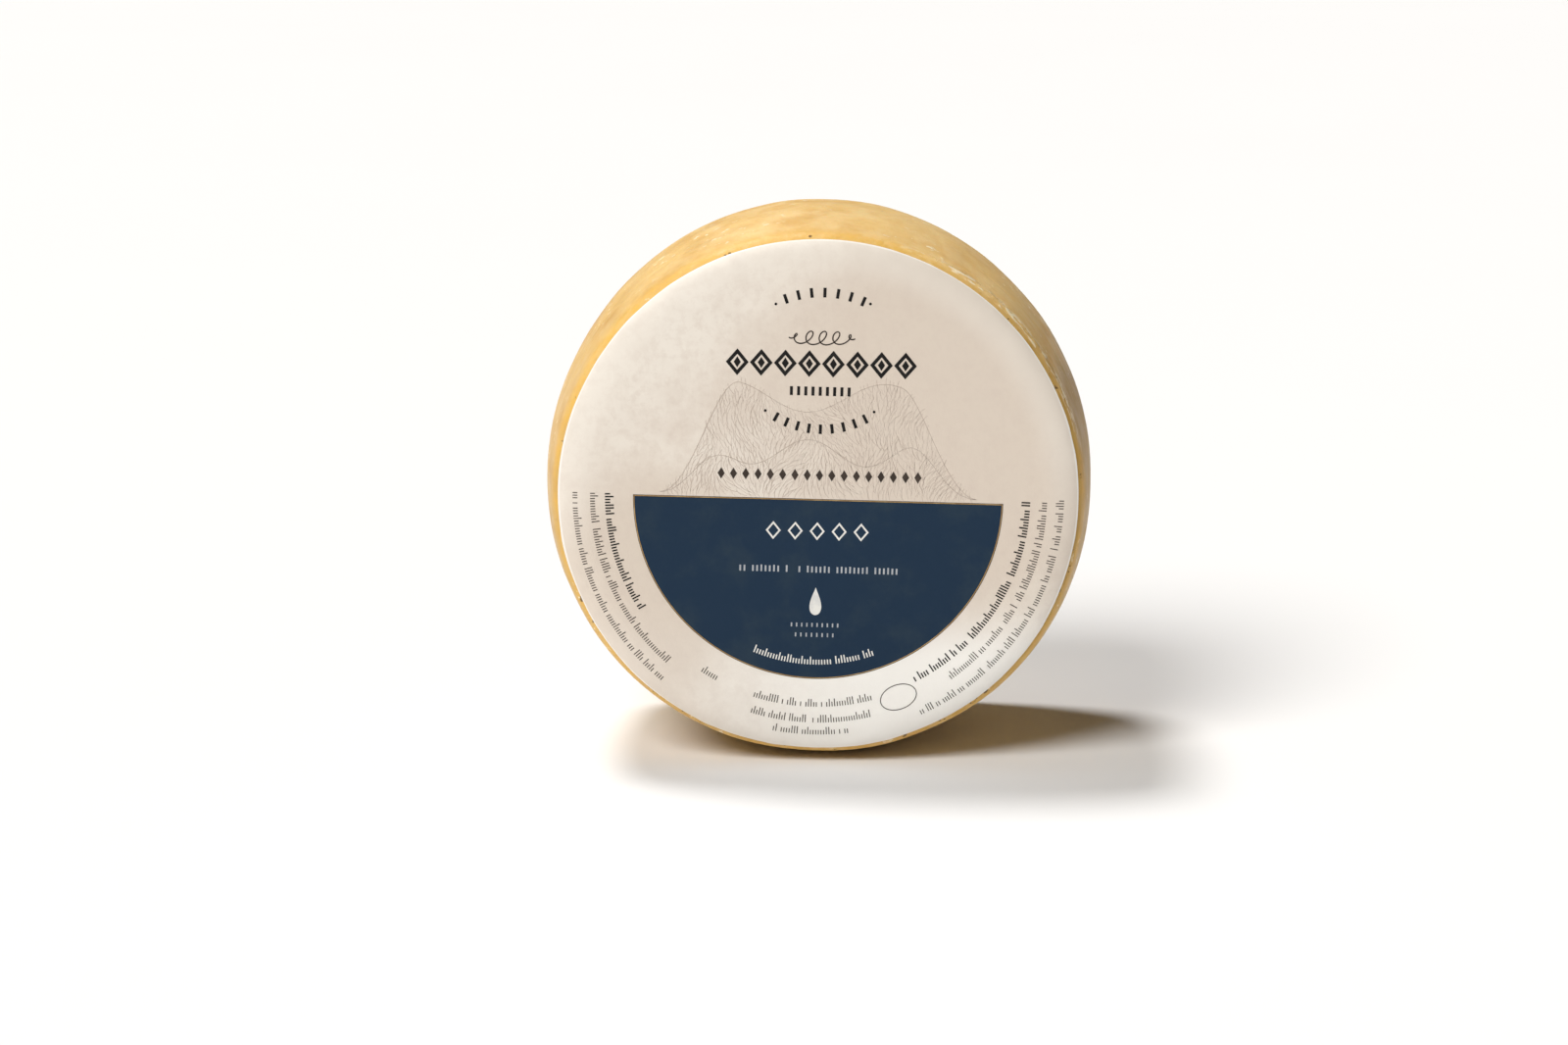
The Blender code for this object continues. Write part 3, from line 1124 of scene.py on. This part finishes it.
def print_line(name, lines, material, lift, width, closed=False):
    """Prints a thin line along each path, with its width in millimetres."""
    piece = paths(name, lines, closed)
    use_tree(piece, tree_named("Printed Line", ribbon_tree), {
        "Step": LINE_STEP,
        "Width": width * MM,
        "Thickness": bpy.context.scene.cheese_label.ink_thickness,
        "Material": material,
    })
    return lay_on_paper(piece, material, lift)


# Where the printed rows lie, in millimetres and degrees
LEFT_ROWS = [arc(67.4, 180, 213.5), arc(72.3, 180, 229), arc(78.0, 180, 231)]
RIGHT_ROWS = [arc(67.0, -60.8, 0.5), arc(72.5, -52.4, 0.5), arc(78.0, -63.3, 1.0)]
FOOT_ROWS = [arc(67.8, -107, -74), arc(73.2, -105.7, -75.4), arc(77.4, -99.4, -81.5)]
SLANTED_ROW = [arc(67.6, -122.8, -117.0)]
SMALL_ROW = [row(-9.4, 9.1, 35.3)]
UPPER_ARC = [arc(32.4, 112, 67, middle=(0.3, 34.9))]
UPPER_ENDS = [row(-15.0, -14.6, 63.2), row(15.2, 15.6, 64.0)]
LOWER_ARC = [arc(29.5, -119, -61, middle=(0.2, 52.4))]
LOWER_ENDS = [row(-17.6, -17.2, 28.6), row(17.3, 17.7, 29.0)]
BROWN_ROW = [row(-31.4, 32.0, 7.8)]
HEADING = (-26.95, -19.25, -11.55, -3.85, 3.85, 11.55, 19.25, 26.95)
HEADING_HEIGHT = 44.2
HEADING_LOZENGE = (7.3, 8.7)
HEADING_DOTS = [row(HEADING[0], HEADING[-1] + 0.01, HEADING_HEIGHT)]
PANEL_HEADING = (-14.2, -7.1, 0.0, 7.1, 14.2)
PANEL_HEADING_HEIGHT = -10.6
PANEL_LOZENGE = (4.9, 6.0)
WHITE_ROW = [row(-26.0, 26.0, -23.2)]
TINY_ROWS = [row(-7.6, 7.4, -41.7), row(-6.2, 5.9, -45.0)]
WHITE_ARC = [arc(53.6, -111, -69.5)]

# The ornaments, in millimetres: the oval, the lozenges' strokes, the drop and the row of loops
OVAL_MIDDLE = (27.8, -65.1)
OVAL_SIZE = (6.1, 4.1)
OVAL_TILT = math.radians(23)
OVAL_STEPS = 40
LOZENGE_STROKE_SHARE = 1.2
DROP_TOP = -29.2
DROP_LENGTH = 9.2
DROP_WIDTH = 5.4
DROP_STEPS = 18
DROP_POINTEDNESS = 1.4
FLOURISH_HALF = 10.6
FLOURISH_HEIGHT = 52.6
FLOURISH_RISE = 2.2
FLOURISH_LOOPS = 5
STEPS_PER_LOOP = 24
LOOP_WIDTH = 0.9
LOOP_SLANT = 0.35

# Height, swell, wave length and start of the two lines of hills, and the reach of the meadow to each side
FAR_HILLS = (32.0, 0.15, 50.0, -2.6)
NEAR_HILLS = (14.0, 0.30, 37.0, 0.6)
MEADOW_REACH = 51.0
MEADOW_FADE = 25.0
HILL_FOOT = 1.2
SKYLINE_STEPS = 120

# Sizes of the marks in each kind of row, in millimetres, and how many are tall or left out
PALE_WORDS = dict(pitch=1.36, width=0.55, height=2.2, short_height=0.9, tall_share=0.3, gap_chance=0.16)
TINY_WORDS = dict(pitch=1.62, width=0.45, height=1.3)
ARC_WORDS = dict(pitch=0.92, width=0.42, height=2.6, short_height=0.62, tall_share=0.25, gap_chance=0.06)
SMALL_WORDS = dict(pitch=0.84, width=0.30, height=2.6, short_height=0.6, tall_share=0.3, gap_chance=0.14)
BOLD_WORDS = dict(pitch=0.92, width=0.46, height=2.8, short_height=0.6, tall_share=0.3, gap_chance=0.10)
ARC_BARS = dict(pitch=3.7, width=1.0, height=3.1)
ARC_END_DOTS = dict(pitch=9.0, width=0.9, height=0.9, square=False, sides=12)
SMALL_BARS = dict(pitch=2.3, width=0.95, height=2.9)
BROWN_DIAMONDS = dict(pitch=3.9, width=2.3, height=3.8, square=False, sides=4)
HEADING_DIAMONDS = dict(pitch=7.7, width=2.3, height=3.6, square=False, sides=4)

# Widths of the printed strokes and lines, in millimetres
PANEL_STROKE = 0.75
HEADING_STROKE = 1.45
PANEL_LINE_WIDTH = 0.32
PANEL_LINE_INSET = 0.3
FLOURISH_WIDTH = 0.42
OVAL_WIDTH = 0.28
SKYLINE_WIDTH = 0.24
HILL_OVERLAP = 0.2

# How far the upper and the faintest ink stand off the paper, and the sizes of the grass, in metres
PANEL_LIFT = INK_LIFT * 2
MEADOW_LIFT = INK_LIFT / 2
GRASS_SPACING = 0.0011
BLADE_LENGTH = 0.0046
BLADE_WIDTH = 0.00019


def oval():
    """A tilted oval, as a closed line."""
    points = []
    for angle in spread(0.0, math.tau, OVAL_STEPS)[:-1]:
        x, y = OVAL_SIZE[0] * math.cos(angle), OVAL_SIZE[1] * math.sin(angle)
        points.append((
            OVAL_MIDDLE[0] + x * math.cos(OVAL_TILT) - y * math.sin(OVAL_TILT),
            OVAL_MIDDLE[1] + x * math.sin(OVAL_TILT) + y * math.cos(OVAL_TILT),
        ))
    return points


def lozenge(across, up, size, stroke):
    """An open lozenge about a point, as a strip between its outer and its inner outline."""
    outer = (size[0] / 2, size[1] / 2)
    inner = (outer[0] - stroke, outer[1] - stroke * LOZENGE_STROKE_SHARE)
    outlines = []
    for half_width, half_height in (outer, inner):
        corners = [
            Vector((across - half_width, up)),
            Vector((across, up - half_height)),
            Vector((across + half_width, up)),
            Vector((across, up + half_height)),
        ]
        sides = zip(corners, corners[1:] + corners[:1])
        points = [start.lerp(end, share) for start, end in sides for share in (0.0, 0.25, 0.5, 0.75)]
        outlines.append(points + points[:1])
    return outlines


def flourish():
    """A row of slanting loops that dies away at both ends."""
    points = []
    for share in spread(-1.0, 1.0, FLOURISH_LOOPS * STEPS_PER_LOOP):
        turn = share * FLOURISH_LOOPS * math.pi
        size = FLOURISH_RISE * (1 - share ** 4)
        rise = size * math.cos(turn)
        swing = rise * LOOP_SLANT - size * LOOP_WIDTH * math.sin(turn)
        points.append((share * FLOURISH_HALF + swing, FLOURISH_HEIGHT + rise))
    return points


def milk_drop():
    """A drop with a point on top, as a strip between its left and its right side."""
    left, right = [], []
    for angle in spread(0.0, math.pi, DROP_STEPS):
        width = DROP_WIDTH / 2 * math.sin(angle) * math.sin(angle / 2) ** DROP_POINTEDNESS
        height = DROP_TOP - DROP_LENGTH * (1 - math.cos(angle)) / 2
        left.append((-width, height))
        right.append((width, height))
    return left, right


def skyline(height, swell, wave_length, start):
    """The line along the tops of rolling hills, which run out at both ends of the meadow."""
    points = []
    for x in spread(-MEADOW_REACH, MEADOW_REACH, SKYLINE_STEPS):
        fade = smooth_step((MEADOW_REACH - abs(x)) / MEADOW_FADE)
        wave = 1 + swell * math.cos(math.tau * x / wave_length + start)
        points.append((x, HILL_FOOT + height * fade * wave))
    return points


# What a user can change


def number_setting(name, description, default, unit="NONE"):
    return bpy.props.FloatProperty(name=name, description=description, default=default, unit=unit)


def length_setting(name, description, default):
    return number_setting(name, description, default, "LENGTH")


def angle_setting(name, description, degrees):
    return number_setting(name, description, math.radians(degrees), "ROTATION")


def colour_setting(name, description, *default):
    return bpy.props.FloatVectorProperty(
        name=name, description=description, default=default, subtype="COLOR")


class RindSettings(bpy.types.PropertyGroup):
    lump_height: length_setting("Lump height", "How far the rim's slow lumps stand up", 0.0005)
    wave_height: length_setting("Face wave height", "How far the faces are from flat", 0.0005)
    streak_height: length_setting("Streak height", "Relief of the streaks round the rim", 0.00009)
    crease_depth: length_setting("Crease depth", "Depth of the creases round the rim", 0.00022)
    knob_height: length_setting(
        "Rough skin height", "Relief of the rough skin on the front shoulder", 0.00024)
    rind_colour: colour_setting("Rind", "Main colour of the rind", 0.80, 0.54, 0.215)
    deep_colour: colour_setting("Deep rind", "Darker patches", 0.68, 0.41, 0.135)
    # Painted shade: the tint that darkens the wheel's sides
    painted_side_shade: colour_setting("Sides", "Tint that deepens the wheel's sides", 0.57, 0.50, 0.37)
    pale_colour: colour_setting("Pale rind", "Paler mottles", 0.87, 0.645, 0.32)
    shoulder_colour: colour_setting("Shoulder", "Stronger yellow beside the label", 0.72, 0.43, 0.095)
    # Also colours the dark line beside the label, which is partly painted shade
    dent_and_shade_colour: colour_setting("Dents", "Mustard dents beside the label", 0.46, 0.27, 0.060)
    # Also colours the pale scuffs on the lip, which are partly painted glints
    fleck_and_glint_colour: colour_setting("Flecks", "Cream flecks", 0.93, 0.80, 0.55)
    pit_colour: colour_setting("Pits", "Small dark pits", 0.10, 0.05, 0.02)


class LabelSettings(bpy.types.PropertyGroup):
    radius: length_setting("Radius", "Radius of the paper disc", 0.0839)
    thickness: length_setting("Paper thickness", "Thickness of the paper", 0.00018)
    clearance: length_setting("Clearance", "Gap between rind and paper", 0.00004)
    pucker_height: length_setting("Pucker height", "Height of the puckers at the edge", 0.00022)
    turn: angle_setting("Turn", "How far the print is turned", -1.3)
    panel_radius: length_setting("Panel radius", "Radius of the dark half disc", 0.0597)
    ink_thickness: length_setting("Ink thickness", "Thickness of the printed marks", 0.00002)
    paper_colour: colour_setting("Paper", "Main colour of the paper", 0.83, 0.77, 0.69)
    cloud_colour: colour_setting("Clouds", "Soft clouds in the paper", 0.64, 0.545, 0.465)
    # Also the colour of the painted shade on the label's right
    stain_and_shade_colour: colour_setting("Stains", "Broad darker areas", 0.68, 0.59, 0.50)
    # Also the colour of the painted light at the label's foot
    cut_and_painted_light_colour: colour_setting("Cut edge", "White of the paper's cut edge", 0.93, 0.91, 0.87)
    navy_colour: colour_setting("Panel", "Dark blue of the half disc", 0.006, 0.024, 0.054)
    navy_worn_colour: colour_setting("Worn panel", "Paler patches of the half disc", 0.019, 0.038, 0.058)
    gilt_colour: colour_setting("Gilt", "Thin line round the half disc", 0.34, 0.20, 0.06)
    ink_colour: colour_setting("Ink", "Near-black ink", 0.006, 0.005, 0.005)
    brown_colour: colour_setting("Brown ink", "Dark brown ink", 0.035, 0.024, 0.018)
    faint_colour: colour_setting("Faint ink", "Ink of the faint engraving", 0.57, 0.475, 0.40)


class StageSettings(bpy.types.PropertyGroup):
    distance: length_setting("Camera distance", "From the wheel's middle", 1.309)
    azimuth: angle_setting("Azimuth", "Turn of the camera to the right", 0.70)
    elevation: angle_setting("Elevation", "Angle of the camera above the axis", 11.08)
    lens: number_setting("Lens", "Focal length in millimetres", 90.0)
    key_strength: number_setting("Key strength", "Strength of the light from the front left", 2.62)
    back_strength: number_setting("Back strength", "Strength of the light from behind on the left", 2.12)
    floor_colour: colour_setting("Floor", "Colour of the floor", 0.85, 0.847, 0.848)


# The photograph's frame and where the wheel's middle lies in it, in pixels
PHOTO_SIZE = (1600, 1066)
WHEEL_IN_PHOTO = (836.4, 481.4)
SENSOR_WIDTH = 36.0
NEAREST_SEEN = 0.05

FLOOR_SIZE = 16.0
FLOOR_AREAS_PER_METRE = 3.0
FLOOR_SHADE = 0.985
FLOOR_ROUGHNESS = 0.75

# Which way the two lights travel, how soft they are, and their colours and the sky's
KEY_TOWARDS = (0.62, 0.80, -1.0)
KEY_SPREAD = 0.50
KEY_COLOUR = (1.0, 0.99, 0.965)
BACK_TOWARDS = (0.32, -0.30, -1.0)
BACK_SPREAD = 0.24
BACK_COLOUR = (1.0, 0.99, 0.975)
HORIZON_COLOUR = (1.0, 1.0, 1.0)
SKY_COLOUR = (0.055, 0.048, 0.040)
HORIZON_BAND = (0.02, 0.05)


class CHEESE_OT_make_rind(bpy.types.Operator):
    """Makes the cheese with its rind"""

    bl_idname = "cheese.make_rind"
    bl_label = "Make Rind"

    def execute(self, context):
        settings = context.scene.cheese_rind
        piece = profile_line("cheese_rind", rind_profile())
        use_tree(piece, rind_tree(), {
            "Steps": RIND_STEPS,
            "Lump Height": settings.lump_height,
            "Wave Height": settings.wave_height,
            "Streak Height": settings.streak_height,
            "Crease Depth": settings.crease_depth,
            "Knob Height": settings.knob_height,
            "Bare Radius": context.scene.cheese_label.radius,
            "Material": rind_material(settings),
        })
        made = plain_mesh(piece)
        made.data.shade_smooth()
        hand_over(made, "rind", "wheel")
        return {"FINISHED"}


class CHEESE_OT_make_label(bpy.types.Operator):
    """Makes the round paper label"""

    bl_idname = "cheese.make_label"
    bl_label = "Make Label"

    def execute(self, context):
        settings = context.scene.cheese_label
        rind = context.scene.cheese_rind
        piece = profile_line("label_paper", paper_profile(settings.radius, settings.clearance))
        use_tree(piece, paper_tree(), {
            "Steps": PAPER_STEPS,
            "Lump Height": rind.lump_height,
            "Wave Height": rind.wave_height,
            "Pucker Height": settings.pucker_height,
            "Edge Radius": settings.radius,
            "Material": paper_material(settings),
        })
        sheet = piece.modifiers.new("thickness", "SOLIDIFY")
        sheet.thickness = settings.thickness
        sheet.offset = 1.0
        made = plain_mesh(piece)
        made.data.shade_smooth()
        made.data.set_sharp_from_angle(angle=SHARP_ANGLE)
        hand_over(made, "label_paper", "label")
        return {"FINISHED"}


class CHEESE_OT_make_panel(bpy.types.Operator):
    """Prints the dark half disc with its gilt line and pale marks"""

    bl_idname = "cheese.make_panel"
    bl_label = "Make Printed Panel"

    def execute(self, context):
        settings = context.scene.cheese_label
        navy = ink_material("navy_ink", settings.navy_colour, settings.navy_worn_colour, **NAVY)
        gilt = ink_material("gilt_ink", settings.gilt_colour, **GILT)
        white = ink_material("white_ink", **WHITE)
        pale = ink_material("pale_ink", **PALE)
        panel = profile_line("panel", [(0.0, 0.0), (MM, 0.0)])
        use_tree(panel, half_disc_tree(), {"Radius": settings.panel_radius, "Material": navy})
        add_ink_thickness(panel)
        lay_on_paper(panel, navy, INK_LIFT)

        reach = settings.panel_radius / MM - PANEL_LINE_INSET
        border = arc(reach, 180, 360) + [(reach, -PANEL_LINE_INSET), (-reach, -PANEL_LINE_INSET)]
        print_line("panel_line", [border], gilt, PANEL_LIFT, PANEL_LINE_WIDTH, closed=True)
        lozenges = [lozenge(x, PANEL_HEADING_HEIGHT, PANEL_LOZENGE, PANEL_STROKE) for x in PANEL_HEADING]
        print_shape("panel_heading", lozenges, white, PANEL_LIFT)
        print_marks("panel_row", WHITE_ROW, pale, PANEL_LIFT, **PALE_WORDS, seed=3)
        print_marks("panel_tiny_rows", TINY_ROWS, pale, PANEL_LIFT, **TINY_WORDS, seed=4)
        print_marks("panel_arc", WHITE_ARC, white, PANEL_LIFT, **ARC_WORDS, seed=5)
        print_shape("panel_drop", [milk_drop()], white, PANEL_LIFT)
        return {"FINISHED"}


class CHEESE_OT_make_print(bpy.types.Operator):
    """Prints the dark rows and ornaments as plain marks"""

    bl_idname = "cheese.make_print"
    bl_label = "Make Printed Rows"

    def execute(self, context):
        settings = context.scene.cheese_label
        black = ink_material("black_ink", settings.ink_colour, **BLACK)
        brown = ink_material("brown_ink", settings.brown_colour, **BROWN)
        small = LEFT_ROWS[1:] + RIGHT_ROWS[1:] + FOOT_ROWS + SLANTED_ROW
        bold = LEFT_ROWS[:1] + RIGHT_ROWS[:1]
        print_marks("small_rows", small, brown, INK_LIFT, **SMALL_WORDS, seed=11)
        print_marks("bold_rows", bold, black, INK_LIFT, **BOLD_WORDS, seed=12)
        print_marks("arc_marks", UPPER_ARC + LOWER_ARC, black, INK_LIFT, **ARC_BARS)
        print_marks("arc_ends", UPPER_ENDS + LOWER_ENDS, black, INK_LIFT, **ARC_END_DOTS)
        print_marks("small_row", SMALL_ROW, black, INK_LIFT, **SMALL_BARS)
        print_marks("brown_row", BROWN_ROW, brown, INK_LIFT, **BROWN_DIAMONDS)
        lozenges = [lozenge(x, HEADING_HEIGHT, HEADING_LOZENGE, HEADING_STROKE) for x in HEADING]
        print_shape("heading_lozenges", lozenges, black, INK_LIFT)
        print_marks("heading_dots", HEADING_DOTS, black, INK_LIFT, **HEADING_DIAMONDS)
        print_line("flourish", [flourish()], brown, INK_LIFT, FLOURISH_WIDTH)
        print_line("oval_ring", [oval()], brown, INK_LIFT, OVAL_WIDTH, closed=True)
        return {"FINISHED"}


class CHEESE_OT_make_meadow(bpy.types.Operator):
    """Prints a faint engraved meadow behind the rows"""

    bl_idname = "cheese.make_meadow"
    bl_label = "Make Faint Meadow"

    def execute(self, context):
        settings = context.scene.cheese_label
        faint = ink_material("faint_ink", settings.faint_colour, **FAINT)
        near, far = skyline(*NEAR_HILLS), skyline(*FAR_HILLS)
        foot = [(x, HILL_FOOT - HILL_OVERLAP) for x, _ in near]
        print_line("meadow_lines", [far, near], faint, MEADOW_LIFT, SKYLINE_WIDTH)
        for name, strip, seed in (("far_grass", (far, near), 20), ("near_grass", (near, foot), 21)):
            blades = flat_shape(name, [strip])
            use_tree(blades, tree_named("Engraved Grass", grass_tree), {
                "Spacing": GRASS_SPACING,
                "Blade Length": BLADE_LENGTH,
                "Blade Width": BLADE_WIDTH,
                "Thickness": settings.ink_thickness,
                "Seed": seed,
                "Material": faint,
            })
            lay_on_paper(blades, faint, MEADOW_LIFT)
        return {"FINISHED"}


class CHEESE_OT_make_stage(bpy.types.Operator):
    """Makes the floor, the lights and the camera"""

    bl_idname = "cheese.make_stage"
    bl_label = "Make Stage"

    def execute(self, context):
        settings = context.scene.cheese_stage
        make_floor(settings)
        make_sky()
        make_lights(settings)
        make_camera(settings)
        context.scene.view_settings.view_transform = "Standard"
        return {"FINISHED"}


def make_floor(settings):
    """A wide level floor under the wheel."""
    mesh = bpy.data.meshes.new("studio_floor")
    half = FLOOR_SIZE / 2
    corners = [(-half, -half, 0), (half, -half, 0), (half, half, 0), (-half, half, 0)]
    mesh.from_pydata(corners, [], [(0, 1, 2, 3)])
    floor = new_piece("studio_floor", mesh)
    mesh.materials.append(floor_material(settings))


def make_sky():
    """Even light from all round, paler near the horizon, as inside a white studio."""
    world = bpy.data.worlds.new("studio")
    world.use_nodes = True
    tree = world.node_tree
    _, _, height = separate(tree, build(tree, "ShaderNodeTexCoord", {}, "Generated"))
    above = ramp(tree, height, *HORIZON_BAND)
    set_shader(tree, tree.nodes["Background"], {
        "Color": mix(tree, above, HORIZON_COLOUR, SKY_COLOUR),
        "Strength": 1.0,
    })
    bpy.context.scene.world = world


def far_light(name, towards, spread_angle, strength, colour):
    """A large distant lamp, whose light travels this way and is as soft as its spread is wide."""
    lamp = bpy.data.lights.new(name, "SUN")
    lamp.angle = spread_angle
    lamp.energy = strength
    lamp.color = colour
    holder = new_piece(name, lamp)
    holder.location = -Vector(towards)
    holder.rotation_euler = Vector(towards).to_track_quat("-Z", "Y").to_euler()


def make_lights(settings):
    """A soft lamp from the front left and a narrower one from behind on the left."""
    far_light("key_light", KEY_TOWARDS, KEY_SPREAD, settings.key_strength, KEY_COLOUR)
    far_light("back_light", BACK_TOWARDS, BACK_SPREAD, settings.back_strength, BACK_COLOUR)


def make_camera(settings):
    """Sets the camera so that the wheel's middle falls on its pixel of the photograph, with no roll."""
    data = bpy.data.cameras.new("camera")
    data.sensor_width = SENSOR_WIDTH
    data.lens = settings.lens
    data.clip_start = NEAREST_SEEN
    camera = new_piece("camera", data)
    back = Vector((
        math.sin(settings.azimuth) * math.cos(settings.elevation),
        -math.cos(settings.azimuth) * math.cos(settings.elevation),
        math.sin(settings.elevation),
    ))
    right = Vector((0, 0, 1)).cross(back).normalized()
    up = back.cross(right)
    pixel = settings.distance * SENSOR_WIDTH / settings.lens / PHOTO_SIZE[0]
    across = (WHEEL_IN_PHOTO[0] - PHOTO_SIZE[0] / 2) * pixel
    above = (PHOTO_SIZE[1] / 2 - WHEEL_IN_PHOTO[1]) * pixel
    camera.location = MIDDLE + back * settings.distance
    aim = MIDDLE - right * across - up * above
    camera.rotation_euler = (aim - camera.location).to_track_quat("-Z", "Y").to_euler()
    bpy.context.scene.camera = camera


class CHEESE_PT_panel(bpy.types.Panel):
    """Lists the steps that make the cheese"""

    bl_idname = "CHEESE_PT_panel"
    bl_label = "Cheese Wheel"
    bl_space_type = "VIEW_3D"
    bl_region_type = "UI"
    bl_category = "Cheese"

    def draw(self, context):
        for settings in (context.scene.cheese_rind, context.scene.cheese_label, context.scene.cheese_stage):
            box = self.layout.box()
            for name in settings.bl_rna.properties.keys():
                if name not in ("rna_type", "name"):
                    box.prop(settings, name)
        for step in OPERATORS:
            self.layout.operator(step.bl_idname)


SETTINGS = {"cheese_rind": RindSettings, "cheese_label": LabelSettings, "cheese_stage": StageSettings}
OPERATORS = (
    CHEESE_OT_make_rind,
    CHEESE_OT_make_label,
    CHEESE_OT_make_panel,
    CHEESE_OT_make_print,
    CHEESE_OT_make_meadow,
    CHEESE_OT_make_stage,
)
CLASSES = (*SETTINGS.values(), *OPERATORS, CHEESE_PT_panel)


def register():
    for kind in CLASSES:
        bpy.utils.register_class(kind)
    for name, kind in SETTINGS.items():
        setattr(bpy.types.Scene, name, bpy.props.PointerProperty(type=kind))


def unregister():
    for name in SETTINGS:
        delattr(bpy.types.Scene, name)
    for kind in reversed(CLASSES):
        bpy.utils.unregister_class(kind)


def main():
    register()
    bpy.ops.cheese.make_rind()
    bpy.ops.cheese.make_label()
    bpy.ops.cheese.make_panel()
    bpy.ops.cheese.make_print()
    bpy.ops.cheese.make_meadow()
    bpy.ops.cheese.make_stage()


if __name__ == "__main__":
    main()
